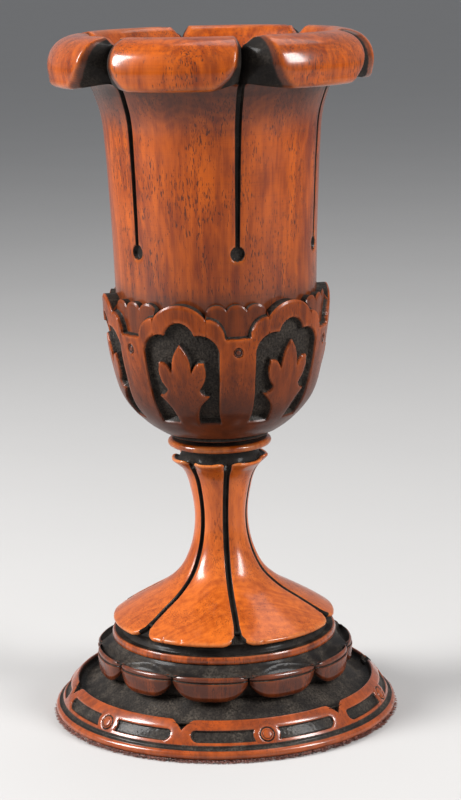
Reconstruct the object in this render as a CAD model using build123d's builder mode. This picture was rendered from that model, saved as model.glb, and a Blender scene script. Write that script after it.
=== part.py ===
from build123d import *
import os
from math import cos, hypot, radians, sin

# Carved and turned wooden chalice. Millimetres and degrees, +Z up, origin at the middle of
# the face it stands on. Six-fold: grooves, posts and pegs stand at 0, 60, 120 ... degrees,
# and petals, arches and leaves half way between them. It was carved by eye, so the rim and
# the band are set a few degrees round from that, and the tongues aren't quite even.

# ---- Division of the circle ----
sectors = 6
sector = 360 / sectors
post_angles = [sector * k for k in range(sectors)]
petal_angles = [angle + sector / 2 for angle in post_angles]
rim_turn = 2.5  # of the petals and keyholes, against the calyx
band_turn = 3.5  # of the panels, notches and buttons on the base
tongue_edges = (7.0, 39.4, 71.9, 104.3, 136.7, 169.1, 201.6, 234.0, 264.9, 300.0, 334.6)

# ---- Heights of the stacked pieces ----
pad_thickness = 0.9
base_height = 13.4
plinth_height = 12.8
stem_height = 59.6
collar_height = 3.7
calyx_height = 46.1
wall_height = 61.4  # bare wall, from the calyx to the turn of the rim
rim_height = 18.1

# ---- Fits ----
glue_gap = 0.05
peg_fit = 0.02
socket_end_gap = 0.8

# ---- Foot: pad, base and its carved band ----
foot_radius = 54.8
pad_margin = 0.8
bead_height = 2.6
bead_round = 0.9
foot_cove = 2.2  # from the bead in to the band
foot_cove_sink = 0.2
band_foot_rise = 3.7  # above the pad
band_crest_rise = 10.2
band_run = 4.8  # inwards, from the band's foot to its crest
band_crown = 0.5
dish_depth = 2.1
dish_lip = 1.0
dish_swell = 1.0
slot_margin = 1.0  # from the band's foot to the slots
slot_width = 4.1
slot_depth = 0.9
slot_half_angle = 24.8
notch_width, notch_reach, notch_depth = 7.4, 3.3, 1.3
notch_lip, notch_shoulder = 0.3, 1.0  # of the notch's curved sides
button_radius = 2.1
button_proud = 0.15
button_length = 4.0
button_margin = 2.0  # wood left round each button

# ---- Plinth: a ring of tongues under a fillet ----
seat_radius = 36.5
tongue_radius = 41.4
tongue_taper = 1.0
tongue_height = 6.1
tongue_gap_width, tongue_gap_height = 8.0, 5.2
ledge_height = 1.8
scoop_reach = 6.0  # from the tongues in to the scoops' top edge
fillet_overhang = 0.5
fillet_height = 2.3

# ---- Stem: a fluted trumpet with a lobed capital ----
flare_radius = 35.4
flare_lip = 0.9
stem_neck_inset = 2.4
stem_neck_height = 3.5
stem_neck_hollow = 0.8
waist_radius = 8.3
waist_share = 0.6  # of the trumpet's height, up from its edge
capital_radius = 15.6
capital_neck_inset = 2.9
capital_neck_height = 2.7
capital_notch_width, capital_notch_height = 3.4, 2.2
flute_width = 2.0
flute_depth = 1.1
flute_drift = (3.0, 0, 0, 0, 4.0, -1.5)  # the carver's error in degrees, flute by flute
tenon_radius = 9.0
tenon_length = 21.8

# ---- Collar ----
collar_radius = 16.4
collar_bead_height = 2.2
collar_neck_radius = 13.6

# ---- Cup: bowl wall, calyx shell, rolled rim ----
spigot_radius = 5.5
spigot_reach = 14.0  # into the stem
wall_radius = 31.4  # outside, at the calyx top
calyx_wall = 4.4
calyx_foot_radius = 15.9
calyx_floor = 4.2
calyx_relief = 2.0  # depth of the windows
fan_relief = 2.2  # depth of the fans behind the arches
bowl_wall = 4.0
wall_flare = 4.8  # growth of the wall's radius up to the rim
crest_reach = 4.3  # from the wall's top out to the crest of the rim
rim_reach = 13.8  # from the wall's top out to the petals
petal_drop = 15.4
petal_thickness = 3.6
petal_hollow = (3.6, 5.0)  # under the petals: out from the wall's top, up from the lip
lip_round = (2.0, 0.4, 3.0)  # lip: inset of its lowest point, inset of its side, rise
rim_shoulder_drop = 9.5  # of the widest point, below the crest
rim_roll = (3.2, 2.2)  # shoulder of the roll: inset from its edge, drop from the crest
mouth_turn = (0.8, 2.8)  # inside the crest: out from the wall's top, drop
mouth_throat = (2.6, 12.0)  # below that: in from the wall's top, drop
floor_dip = 0.7
petal_gap = 30.0  # between two petals at their lower edges
rim_slot_width = 1.7
rim_slot_depth = 3.2
keyhole_width = 1.8
keyhole_depth = 1.4
keyhole_radius = 2.3
keyhole_rise = 14.7  # middle of the round end, above the calyx

# ---- Carving on the calyx: depths below its top edge, and half widths ----
arch_lobe, arch_cusp_drop = 8.6, 4.4
arch_shoulder, post_drop = 13.9, 10.6
arch_side_swell = (0.6, 1.4)  # of the sides beyond the straight: out, up
window_top_drop, window_cusp_drop = 5.3, 9.2
window_lobe, window_half_width, window_foot = 4.9, 12.2, 9.4
window_shoulder_drop = 15.0
window_side_turn = (1.8, 1.5)  # of the head's sides: in from the widest, below the cusp
window_sill = 8.0  # above the calyx foot
fan_lobe_width, fan_cusp_drop = 6.4, 2.4
pin_drop = 14.6
pin_radius = 1.35
pin_proud = 0.15
pin_length = 6.0

# ---- Heights that follow ----
base_top = pad_thickness + base_height
plinth_top = base_top + plinth_height
stem_top = plinth_top + stem_height
collar_top = stem_top + collar_height
calyx_top = collar_top + calyx_height
wall_top = calyx_top + wall_height
rim_top = wall_top + rim_height
far = 2 * foot_radius  # past every surface
past = 1.0  # how far cutters run out of the wood


def facing(angle):
    """Upright plane through the axis that looks outwards: x runs round, y runs up."""
    a = radians(angle)
    return Plane(origin=(0, 0, 0), x_dir=(-sin(a), cos(a), 0), z_dir=(cos(a), sin(a), 0))


def meridian(angle):
    """Plane through the axis at an angle: its x runs outwards and its y runs up."""
    a = radians(angle)
    return Plane(origin=(0, 0, 0), x_dir=(cos(a), sin(a), 0), z_dir=(sin(a), -cos(a), 0))


def shares(start, end, pairs):
    """Points between two corners, given as shares of the way out and of the way up."""
    return [
        (start[0] + out * (end[0] - start[0]), start[1] + up * (end[1] - start[1]))
        for out, up in pairs
    ]


def inset(points, distance):
    """Points moved square to their own line, to its left for a positive distance."""
    moved = []
    for i, (x, y) in enumerate(points):
        x0, y0 = points[max(i - 1, 0)]
        x1, y1 = points[min(i + 1, len(points) - 1)]
        length = hypot(x1 - x0, y1 - y0)
        moved.append((x - distance * (y1 - y0) / length, y + distance * (x1 - x0) / length))
    return moved


def radius_at(line, height):
    """Radius of an outline at a height, straight between its points."""
    for (r0, z0), (r1, z1) in zip(line, line[1:]):
        if z0 <= height <= z1:
            return r0 + (r1 - r0) * (height - z0) / (z1 - z0)


# ---- Outlines that two pieces share ----
calyx_rim_radius = wall_radius + calyx_wall
calyx_line = shares(
    (calyx_foot_radius, collar_top),
    (calyx_rim_radius, calyx_top),
    ((0, 0), (0.37, 0.11), (0.69, 0.27), (0.87, 0.51), (0.97, 0.78), (1, 1)),
)
contact_line = [
    (calyx_foot_radius - calyx_wall, collar_top + calyx_floor),
    *inset(calyx_line, calyx_wall)[1:-1],
    (wall_radius, calyx_top),
]
wall_line = shares(
    (wall_radius, calyx_top),
    (wall_radius + wall_flare, wall_top),
    ((0, 0), (0.10, 0.29), (0.22, 0.5), (0.36, 0.71), (0.66, 0.92), (1, 1)),
)


pin_face = radius_at(calyx_line, calyx_top - pin_drop) + pin_proud


def make_pad():
    """Round pad glued under the base."""
    with BuildPart() as foot_pad:
        Cylinder(
            foot_radius - pad_margin, pad_thickness, align=(Align.CENTER, Align.CENTER, Align.MIN)
        )
    foot_pad.part.label = "foot_pad"
    export_step(foot_pad.part, "parts/foot_pad.step")


# ---- Slope of the band on the base ----
band_outer_radius = foot_radius - foot_cove
band_inner_radius = band_outer_radius - band_run
band_foot = (band_outer_radius, pad_thickness + band_foot_rise)
band_crest = (band_inner_radius, pad_thickness + band_crest_rise)
band_slant = hypot(band_run, band_crest_rise - band_foot_rise)
band_up = (-band_run / band_slant, (band_crest_rise - band_foot_rise) / band_slant)
slot_middle = slot_margin + slot_width / 2


def on_band(along, proud=0.0):
    """Point of the band's section, so far up its slope and so far out of it."""
    return (
        band_foot[0] + along * band_up[0] + proud * band_up[1],
        band_foot[1] + along * band_up[1] - proud * band_up[0],
    )


def band_plane(angle, along, proud=0.0):
    """Plane on the band's slope: its x runs round the base and its y runs up the slope."""
    a = radians(angle)
    radius, height = on_band(along, proud)
    return Plane(
        origin=(radius * cos(a), radius * sin(a), height),
        x_dir=(-sin(a), cos(a), 0),
        z_dir=(band_up[1] * cos(a), band_up[1] * sin(a), -band_up[0]),
    )


def make_slot_cutter():
    """The two sunk panels on each side of one button, with round ends."""
    reach = band_crown + slot_depth
    with BuildPart() as cutter:
        with BuildSketch(meridian(-slot_half_angle)):
            Polygon(
                on_band(slot_margin, reach),
                on_band(slot_margin + slot_width, reach),
                on_band(slot_margin + slot_width, -slot_depth),
                on_band(slot_margin, -slot_depth),
                align=None,
            )
        revolve(axis=Axis.Z, revolution_arc=2 * slot_half_angle)
        for end in (-slot_half_angle, slot_half_angle):
            with BuildSketch(band_plane(end, slot_middle, reach)):
                Circle(slot_width / 2)
            extrude(amount=-reach - slot_depth)
        with BuildSketch(band_plane(0, slot_middle, 2 * reach)):
            Circle(button_radius + button_margin)
        extrude(amount=-4 * reach, mode=Mode.SUBTRACT)
    return cutter.part


def make_base():
    """Turned base: bead, cove, carved band, hollow dish and the seat for the plinth."""
    bead_top = pad_thickness + bead_height
    bead_edge = foot_radius - bead_round
    dish_edge = (band_inner_radius - dish_lip, band_crest[1] - dish_depth)
    slot_cutter = make_slot_cutter()
    with BuildPart() as base:
        with BuildSketch(Plane.XZ):
            with BuildLine():
                Line((0, pad_thickness), (bead_edge, pad_thickness))
                ThreePointArc(
                    (bead_edge, pad_thickness),
                    (foot_radius, pad_thickness + bead_height / 2),
                    (bead_edge, bead_top),
                )
                ThreePointArc(
                    (bead_edge, bead_top), (band_outer_radius, bead_top + foot_cove_sink), band_foot
                )
                ThreePointArc(band_foot, on_band(band_slant / 2, band_crown), band_crest)
                Line(band_crest, dish_edge)
                Spline(
                    dish_edge,
                    ((dish_edge[0] + seat_radius) / 2, dish_edge[1] + dish_swell),
                    (seat_radius, base_top),
                )
                Polyline((seat_radius, base_top), (0, base_top), (0, pad_thickness))
            make_face()
        revolve(axis=Axis.Z)
        with BuildSketch(Plane.XY.offset(base_top)):
            Circle(tenon_radius + glue_gap)
        extrude(amount=plinth_height - tenon_length - socket_end_gap, mode=Mode.SUBTRACT)
        for angle in post_angles:
            add(slot_cutter, rotation=(0, 0, angle + band_turn), mode=Mode.SUBTRACT)
            with BuildSketch(band_plane(angle + band_turn, slot_middle, band_crown + button_proud)):
                Circle(button_radius + peg_fit)
            extrude(amount=-button_length, mode=Mode.SUBTRACT)
        for angle in petal_angles:
            with BuildSketch(band_plane(angle + band_turn, band_slant, notch_reach)):
                with BuildLine():
                    for side in (-1, 1):
                        Spline(
                            (side * notch_width / 2, notch_lip),
                            (side * notch_width / 5, -notch_shoulder),
                            (0, -notch_reach),
                        )
                    Polyline(
                        (notch_width / 2, notch_lip),
                        (notch_width / 2, notch_reach),
                        (-notch_width / 2, notch_reach),
                        (-notch_width / 2, notch_lip),
                    )
                make_face()
            extrude(amount=-notch_reach - notch_depth, mode=Mode.SUBTRACT)
    base.part.label = "base"
    export_step(base.part, "parts/base.step")


def make_buttons():
    """Round wooden buttons pegged into the band, standing a little proud of it."""
    with BuildPart() as base_buttons:
        for angle in post_angles:
            with BuildSketch(band_plane(angle + band_turn, slot_middle, band_crown + button_proud)):
                Circle(button_radius)
            extrude(amount=-button_length)
    base_buttons.part.label = "base_buttons"
    export_step(base_buttons.part, "parts/base_buttons.step")


def make_plinth():
    """Plinth: round-ended tongues, a ledge, a cove and a fillet."""
    bore = tenon_radius + glue_gap
    tongue_top = base_top + tongue_height
    ledge_radius = tongue_radius - tongue_taper
    ledge_top = tongue_top + ledge_height
    fillet_radius = tongue_radius - scoop_reach + fillet_overhang
    fillet_foot = plinth_top - fillet_height
    scoop_top = (fillet_radius - fillet_overhang, fillet_foot)
    with BuildPart() as plinth:
        with BuildSketch(Plane.XZ):
            with BuildLine():
                Polyline(
                    (bore, plinth_top),
                    (bore, base_top),
                    (ledge_radius, base_top),
                    (tongue_radius, tongue_top),
                    (ledge_radius, tongue_top),
                    (ledge_radius, ledge_top),
                )
                TangentArc((ledge_radius, ledge_top), scoop_top, tangent=(-1, 0))
                Polyline(
                    scoop_top,
                    (fillet_radius, fillet_foot),
                    (fillet_radius, plinth_top),
                    (bore, plinth_top),
                )
            make_face()
        revolve(axis=Axis.Z)
        for angle in tongue_edges:
            with BuildSketch(facing(angle).offset(seat_radius)):
                with BuildLine():
                    for side in (-1, 1):
                        ThreePointArc(
                            (side * tongue_gap_width / 2, base_top),
                            (side * tongue_gap_width / 8, base_top + tongue_gap_height / 2),
                            (0, base_top + tongue_gap_height),
                        )
                    Line((-tongue_gap_width / 2, base_top), (tongue_gap_width / 2, base_top))
                make_face()
            extrude(amount=far, mode=Mode.SUBTRACT)
    plinth.part.label = "plinth"
    export_step(plinth.part, "parts/plinth.step")


def make_stem():
    """Trumpet stem with six flutes, a lobed capital, a tenon below and a socket above."""
    flare_foot = plinth_top + stem_neck_height
    flare_top = flare_foot + flare_lip
    capital_top = stem_top - capital_neck_height
    waist = (waist_radius, flare_top + waist_share * (capital_top - flare_top))
    neck_radius = flare_radius - stem_neck_inset
    capital_neck = capital_radius - capital_neck_inset
    tenon_end = plinth_top - tenon_length
    flare = shares(
        (flare_radius, flare_top),
        waist,
        ((0, 0), (0.36, 0.19), (0.62, 0.32), (0.81, 0.47), (0.93, 0.67), (1, 1)),
    )
    bell = shares(waist, (capital_radius, capital_top), ((0, 0), (0.13, 0.42), (0.42, 0.75), (1, 1)))
    trumpet = flare + bell[1:]
    with BuildPart() as stem:
        with BuildSketch(Plane.XZ):
            with BuildLine():
                Polyline(
                    (0, tenon_end),
                    (tenon_radius, tenon_end),
                    (tenon_radius, plinth_top),
                    (neck_radius, plinth_top),
                )
                ThreePointArc(
                    (neck_radius, plinth_top),
                    (neck_radius - stem_neck_hollow, plinth_top + stem_neck_height / 2),
                    (neck_radius, flare_foot),
                )
                Polyline(
                    (neck_radius, flare_foot), (flare_radius, flare_foot), (flare_radius, flare_top)
                )
                Spline(trumpet)
                Polyline(
                    (capital_radius, capital_top),
                    (capital_neck, capital_top),
                    (capital_neck, stem_top),
                    (0, stem_top),
                    (0, tenon_end),
                )
            make_face()
        revolve(axis=Axis.Z)
        with BuildSketch(Plane.XY.offset(stem_top)):
            Circle(spigot_radius + glue_gap)
        extrude(amount=-spigot_reach - socket_end_gap, mode=Mode.SUBTRACT)
        for angle, drift in zip(post_angles, flute_drift):
            with BuildSketch(meridian(angle + drift)):
                with BuildLine():
                    Spline(trumpet)
                    Spline(inset(trumpet, flute_depth))
                    Line(trumpet[0], inset(trumpet, flute_depth)[0])
                    Line(trumpet[-1], inset(trumpet, flute_depth)[-1])
                make_face()
            extrude(amount=flute_width / 2, both=True, mode=Mode.SUBTRACT)
            with BuildSketch(facing(angle).offset(capital_neck)):
                Polygon(
                    (-capital_notch_width / 2, capital_top),
                    (capital_notch_width / 2, capital_top),
                    (0, capital_top - capital_notch_height),
                    align=None,
                )
            extrude(amount=capital_radius, mode=Mode.SUBTRACT)
    stem.part.label = "stem"
    export_step(stem.part, "parts/stem.step")


def make_collar():
    """Ring between stem and calyx: a bead with a cove over it."""
    bead_top = stem_top + collar_bead_height
    bead_round = collar_bead_height / 2
    with BuildPart() as collar:
        with BuildSketch(Plane.XZ):
            with BuildLine():
                Line((spigot_radius + glue_gap, stem_top), (collar_radius - bead_round, stem_top))
                ThreePointArc(
                    (collar_radius - bead_round, stem_top),
                    (collar_radius, stem_top + bead_round),
                    (collar_radius - bead_round, bead_top),
                )
                Polyline(
                    (collar_radius - bead_round, bead_top),
                    (collar_neck_radius, bead_top),
                    (collar_neck_radius, collar_top),
                    (spigot_radius + glue_gap, collar_top),
                    (spigot_radius + glue_gap, stem_top),
                )
            make_face()
        revolve(axis=Axis.Z)
    collar.part.label = "collar"
    export_step(collar.part, "parts/collar.step")


# ---- Heights of the carving on the calyx ----
arch_cusp = calyx_top - arch_cusp_drop
post_top = calyx_top - post_drop
window_top = calyx_top - window_top_drop
window_cusp = calyx_top - window_cusp_drop
window_shoulder = calyx_top - window_shoulder_drop
window_bottom = collar_top + window_sill
leaf_line = (  # right half from the stalk to the tip: millimetres out, share of the window up
    ((3.2, -0.10), (3.1, 0.05), (7.9, 0.29)),
    ((7.9, 0.29), (6.2, 0.29), (4.7, 0.33)),
    ((4.7, 0.33), (6.8, 0.44), (7.1, 0.61)),
    ((7.1, 0.61), (4.8, 0.60), (2.9, 0.51)),
    ((2.9, 0.51), (2.7, 0.61), (1.9, 0.71), (0.0, 0.78)),
)


def make_arch_prism():
    """Everything below the outline of one arch, from the axis outwards."""
    with BuildPart() as prism:
        with BuildSketch(facing(0)):
            with BuildLine():
                ThreePointArc((-arch_lobe, arch_cusp), (0, calyx_top), (arch_lobe, arch_cusp))
                for side in (-1, 1):
                    ThreePointArc(
                        (side * arch_lobe, arch_cusp),
                        (
                            side * ((arch_lobe + arch_shoulder) / 2 + arch_side_swell[0]),
                            (arch_cusp + post_top) / 2 + arch_side_swell[1],
                        ),
                        (side * arch_shoulder, post_top),
                    )
                    Polyline(
                        (side * arch_shoulder, post_top), (side * far, post_top), (side * far, 0), (0, 0)
                    )
            make_face()
        extrude(amount=far)
    return prism.part


def make_gap_cutter():
    """What is carved away above the arches within one sector, leaving a low fan."""
    fan_radius = calyx_rim_radius - fan_relief
    arch_prism = make_arch_prism()
    with BuildPart() as cutter:
        with BuildSketch(meridian(-sector / 2)):
            Polygon(
                (fan_radius, post_top),
                (far, post_top),
                (far, calyx_top + past),
                (fan_radius, calyx_top + past),
                align=None,
            )
        revolve(axis=Axis.Z, revolution_arc=sector)
        add(arch_prism, rotation=(0, 0, -sector / 2), mode=Mode.SUBTRACT)
        add(arch_prism, rotation=(0, 0, sector / 2), mode=Mode.SUBTRACT)
    return cutter.part


def make_window_cutter():
    """Sunk window round one leaf, as deep as the relief all over."""
    window_rise = window_top - window_bottom
    ground_line = inset(calyx_line, calyx_relief)
    with BuildPart() as cutter:
        with BuildSketch(facing(0)):
            with BuildLine():
                ThreePointArc(
                    (-window_lobe, window_cusp), (0, window_top), (window_lobe, window_cusp)
                )
                for side in (-1, 1):
                    ThreePointArc(
                        (side * window_lobe, window_cusp),
                        (
                            side * (window_half_width - window_side_turn[0]),
                            window_cusp - window_side_turn[1],
                        ),
                        (side * window_half_width, window_shoulder),
                    )
                    Line(
                        (side * window_half_width, window_shoulder), (side * window_foot, window_bottom)
                    )
                Line((-window_foot, window_bottom), (window_foot, window_bottom))
            make_face()
        extrude(amount=far)
        with BuildSketch(Plane.XZ):
            with BuildLine():
                Spline(*ground_line)
                Polyline(
                    ground_line[0],
                    (ground_line[0][0], 0),
                    (far, 0),
                    (far, ground_line[-1][1]),
                    ground_line[-1],
                )
            make_face()
        revolve(axis=Axis.Z, mode=Mode.INTERSECT)
        with BuildSketch(facing(0)):
            with BuildLine():
                for stretch in leaf_line:
                    Spline(*[(x, window_bottom + share * window_rise) for x, share in stretch])
                leaf_foot = window_bottom + leaf_line[0][0][1] * window_rise
                Line((0, leaf_foot), (leaf_line[0][0][0], leaf_foot))
                Line((0, leaf_foot), (0, window_bottom + leaf_line[-1][-1][1] * window_rise))
            make_face()
            mirror(about=Plane.YZ)
        extrude(amount=far, both=True, mode=Mode.SUBTRACT)
    return cutter.part


def make_calyx():
    """Carved shell round the foot of the bowl: six arches with leaves, fans between them."""
    gap_cutter = make_gap_cutter()
    window_cutter = make_window_cutter()
    fan_top = calyx_top + past
    with BuildPart() as calyx:
        with BuildSketch(Plane.XZ):
            with BuildLine():
                Line((spigot_radius + glue_gap, collar_top), calyx_line[0])
                Spline(*calyx_line)
                Line(calyx_line[-1], contact_line[-1])
                Spline(*contact_line)
                Polyline(
                    contact_line[0],
                    (spigot_radius + glue_gap, contact_line[0][1]),
                    (spigot_radius + glue_gap, collar_top),
                )
            make_face()
        revolve(axis=Axis.Z)
        for angle in post_angles:
            add(gap_cutter, rotation=(0, 0, angle), mode=Mode.SUBTRACT)
            for side in (-0.5, 0.5):
                with BuildSketch(facing(angle)):
                    Polygon(
                        ((side - 0.25) * fan_lobe_width, fan_top),
                        (side * fan_lobe_width, calyx_top - fan_cusp_drop),
                        ((side + 0.25) * fan_lobe_width, fan_top),
                        align=None,
                    )
                extrude(amount=far, mode=Mode.SUBTRACT)
            with BuildSketch(facing(angle)):
                with Locations((0, calyx_top - pin_drop)):
                    Circle(pin_radius + peg_fit)
            extrude(amount=far, mode=Mode.SUBTRACT)
        for angle in petal_angles:
            add(window_cutter, rotation=(0, 0, angle), mode=Mode.SUBTRACT)
    calyx.part.label = "calyx"
    export_step(calyx.part, "parts/calyx.step")


def make_bowl():
    """Turned bowl with its spigot, keyhole grooves and a rim rolled over in six petals."""
    inner_line = inset(contact_line[1:-1] + wall_line, bowl_wall)
    floor = collar_top + calyx_floor + bowl_wall
    top_radius = wall_radius + wall_flare
    crest = (top_radius + crest_reach, rim_top)
    lip_height = rim_top - petal_drop
    rim_radius = top_radius + rim_reach
    groove_line = inset(wall_line, keyhole_depth)
    keyhole_height = calyx_top + keyhole_rise
    keyhole_bottom = radius_at(wall_line, keyhole_height) - keyhole_depth
    with BuildPart() as bowl:
        with BuildSketch(Plane.XZ):
            with BuildLine():
                Polyline(
                    (0, floor),
                    (0, stem_top - spigot_reach),
                    (spigot_radius, stem_top - spigot_reach),
                    (spigot_radius, contact_line[0][1]),
                    contact_line[0],
                )
                Spline(*contact_line)
                Spline(*wall_line)
                Spline(
                    wall_line[-1],
                    (top_radius + petal_hollow[0], lip_height + petal_hollow[1]),
                    (rim_radius - petal_thickness, lip_height + lip_round[2]),
                )
                ThreePointArc(
                    (rim_radius - petal_thickness, lip_height + lip_round[2]),
                    (rim_radius - lip_round[0], lip_height),
                    (rim_radius - lip_round[1], lip_height + lip_round[2]),
                )
                Spline(
                    (rim_radius - lip_round[1], lip_height + lip_round[2]),
                    (rim_radius, rim_top - rim_shoulder_drop),
                    (rim_radius - rim_roll[0], rim_top - rim_roll[1]),
                    crest,
                    tangents=((0.1, 1), (-1, 0.05)),
                )
                Spline(
                    crest,
                    (top_radius + mouth_turn[0], rim_top - mouth_turn[1]),
                    (top_radius - mouth_throat[0], rim_top - mouth_throat[1]),
                    inner_line[-1],
                    tangents=((-1, 0), (-0.2, -1)),
                )
                Spline(*inner_line)
                Spline(
                    inner_line[0],
                    (inner_line[0][0] / 2, floor + floor_dip),
                    (0, floor),
                    tangents=((-1, -0.9), (-1, 0)),
                )
            make_face()
        revolve(axis=Axis.Z)
        for angle in post_angles:
            turned = angle + rim_turn
            with BuildSketch(facing(turned).offset(top_radius)):
                with BuildLine():
                    for side in (-1, 1):
                        Spline(
                            (side * rim_slot_width / 2, rim_top + past),
                            (side * rim_slot_width / 2, rim_top - rim_slot_depth),
                            (side * petal_gap / 4, rim_top - petal_drop / 2),
                            (side * petal_gap / 2, lip_height - past),
                        )
                    Line(
                        (-rim_slot_width / 2, rim_top + past), (rim_slot_width / 2, rim_top + past)
                    )
                    Line((-petal_gap / 2, lip_height - past), (petal_gap / 2, lip_height - past))
                make_face()
            extrude(amount=far, mode=Mode.SUBTRACT)
            with BuildSketch(facing(turned)):
                with Locations((0, rim_top)):
                    Rectangle(rim_slot_width, 2 * rim_slot_depth)
            extrude(amount=far, mode=Mode.SUBTRACT)
            with BuildSketch(meridian(turned)):
                with BuildLine():
                    Spline(*groove_line)
                    Polyline(groove_line[-1], (far, wall_top), (far, calyx_top), groove_line[0])
                make_face()
                with Locations((far / 2, keyhole_height)):
                    Rectangle(far, wall_height, align=(Align.CENTER, Align.MIN), mode=Mode.INTERSECT)
            extrude(amount=keyhole_width / 2, both=True, mode=Mode.SUBTRACT)
            with BuildSketch(facing(turned).offset(keyhole_bottom)):
                with Locations((0, keyhole_height)):
                    Circle(keyhole_radius)
            extrude(amount=far, mode=Mode.SUBTRACT)
            with BuildSketch(facing(angle).offset(pin_face - pin_length)):
                with Locations((0, calyx_top - pin_drop)):
                    Circle(pin_radius + peg_fit)
            extrude(amount=pin_length, mode=Mode.SUBTRACT)
    bowl.part.label = "bowl"
    export_step(bowl.part, "parts/bowl.step")


def make_pins():
    """Round wooden pins through the calyx posts into the bowl, standing a little proud."""
    with BuildPart() as calyx_pins:
        for angle in post_angles:
            with BuildSketch(facing(angle).offset(pin_face - pin_length)):
                with Locations((0, calyx_top - pin_drop)):
                    Circle(pin_radius)
            extrude(amount=pin_length)
    calyx_pins.part.label = "calyx_pins"
    export_step(calyx_pins.part, "parts/calyx_pins.step")


os.makedirs("parts", exist_ok=True)
make_pad()
make_base()
make_buttons()
make_plinth()
make_stem()
make_collar()
make_calyx()
make_pins()
make_bowl()
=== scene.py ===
from math import cos, hypot, pi, radians, sin

import bpy
import numpy as np
from bpy.props import FloatProperty, FloatVectorProperty, IntProperty, PointerProperty
from mathutils import Matrix, Vector, noise


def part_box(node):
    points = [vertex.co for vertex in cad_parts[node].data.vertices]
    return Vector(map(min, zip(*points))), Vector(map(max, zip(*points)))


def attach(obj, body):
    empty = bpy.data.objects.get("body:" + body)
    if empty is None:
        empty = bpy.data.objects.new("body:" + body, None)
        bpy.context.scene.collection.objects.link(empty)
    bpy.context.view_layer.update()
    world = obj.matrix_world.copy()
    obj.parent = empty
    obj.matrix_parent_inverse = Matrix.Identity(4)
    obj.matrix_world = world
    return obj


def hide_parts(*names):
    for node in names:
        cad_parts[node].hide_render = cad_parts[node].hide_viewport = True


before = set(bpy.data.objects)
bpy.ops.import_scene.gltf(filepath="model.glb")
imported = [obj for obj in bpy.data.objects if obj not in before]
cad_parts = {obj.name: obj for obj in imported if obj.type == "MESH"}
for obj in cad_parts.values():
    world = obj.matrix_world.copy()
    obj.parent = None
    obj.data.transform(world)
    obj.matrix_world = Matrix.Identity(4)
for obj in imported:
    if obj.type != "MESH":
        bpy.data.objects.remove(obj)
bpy.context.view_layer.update()  # the imported parts, now in world space

bl_info = {
    "name": "Carved Wooden Chalice",
    "version": (1, 0, 0),
    "blender": (4, 5, 0),
    "location": "3D View > Sidebar > Chalice",
    "description": "Builds a turned and carved wooden chalice with petalled rim and carved foot",
    "category": "Add Mesh",
}

MM = 0.001  # outlines are written in millimetres
SECTORS = 6
SECTOR = 2 * pi / SECTORS
BAND_TURN = radians(3.5)  # of the band on the base against the stem's flutes
SPIGOT, BORE = 5.5, 5.55  # radii of the bowl's spigot and of the holes round it
TENON, TENON_HOLE = 9.0, 9.05  # radii of the stem's tenon and of the holes round it
SEAT_RADIUS, SEAT_RISE = 11.5, 4.2  # flat under the bowl, and its height over the calyx's foot
PIN_DROP, PIN_LENGTH = 14.6, 6.0  # pins below the calyx's top, and their length
BAND_FOOT = (2.2, 3.7)  # foot of the band: in from the base's edge, and up from its underside
SLOT_RISE = 3.05  # from there up the slope to the middle of the panels and buttons
ARCH_HALF = 13.9  # half the width of an arch, at its posts
CAPITAL_COVE = 13.2  # radius of the cove where the capital meets the collar
SMOOTH_BELOW = radians(50)  # sharper edges than this stay sharp
DONE = {"FINISHED"}


def low(node):
    """Lowest height of a node, in millimetres."""
    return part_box(node)[0].z / MM


def high(node):
    """Highest height of a node, in millimetres."""
    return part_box(node)[1].z / MM


def reach(node):
    """Largest half width of a node, in millimetres."""
    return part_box(node)[1].y / MM


# ---------------------------------------------------------------- sizes and colours


def length(label, text, default):
    return FloatProperty(name=label, description=text, default=default * MM, unit="LENGTH", precision=5)


def colour(label, text, default):
    return FloatVectorProperty(
        name=label, description=text, default=default, subtype="COLOR", size=3, min=0, max=1
    )


class ChaliceSizes(bpy.types.PropertyGroup):
    """Sizes that a user would change. The heights come from the parts in model.glb."""

    wall_radius: length("Wall radius", "Outside of the bowl where it leaves the calyx", 31.4)
    wall_flare: length("Wall flare", "Growth of the wall's radius up to the rim", 4.8)
    bowl_wall: length("Bowl wall", "Thickness of the bowl's wall", 4.0)
    rim_reach: length("Rim reach", "From the wall out to the edge of the petals", 13.8)
    petal_drop: length("Petal drop", "From the crest of the rim to the petals' lower edge", 15.4)
    rim_notch: length("Rim notch", "Depth of the notches in the crest of the rim", 3.7)
    keyhole_radius: length("Keyhole radius", "Round end of the grooves on the bowl", 2.3)
    keyhole_depth: length("Keyhole depth", "Depth of the grooves on the bowl", 1.3)
    calyx_wall: length("Calyx wall", "Thickness of the calyx round the bowl", 4.4)
    window_depth: length("Window depth", "Depth of the sunk ground round the leaves", 2.0)
    fan_depth: length("Fan depth", "Depth of the fans behind the arches", 1.9)
    flute_width: length("Flute width", "Width of the flutes on the stem", 2.0)
    flute_depth: length("Flute depth", "Depth of the flutes on the stem", 1.15)
    slot_depth: length("Panel depth", "Depth of the sunk panels in the band", 0.9)
    pile_length: length("Pile length", "Length of the frayed pile round the pad", 2.2)
    pile_tufts: IntProperty(name="Pile tufts", description="Tufts round the pad", default=2400, min=0)


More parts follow.
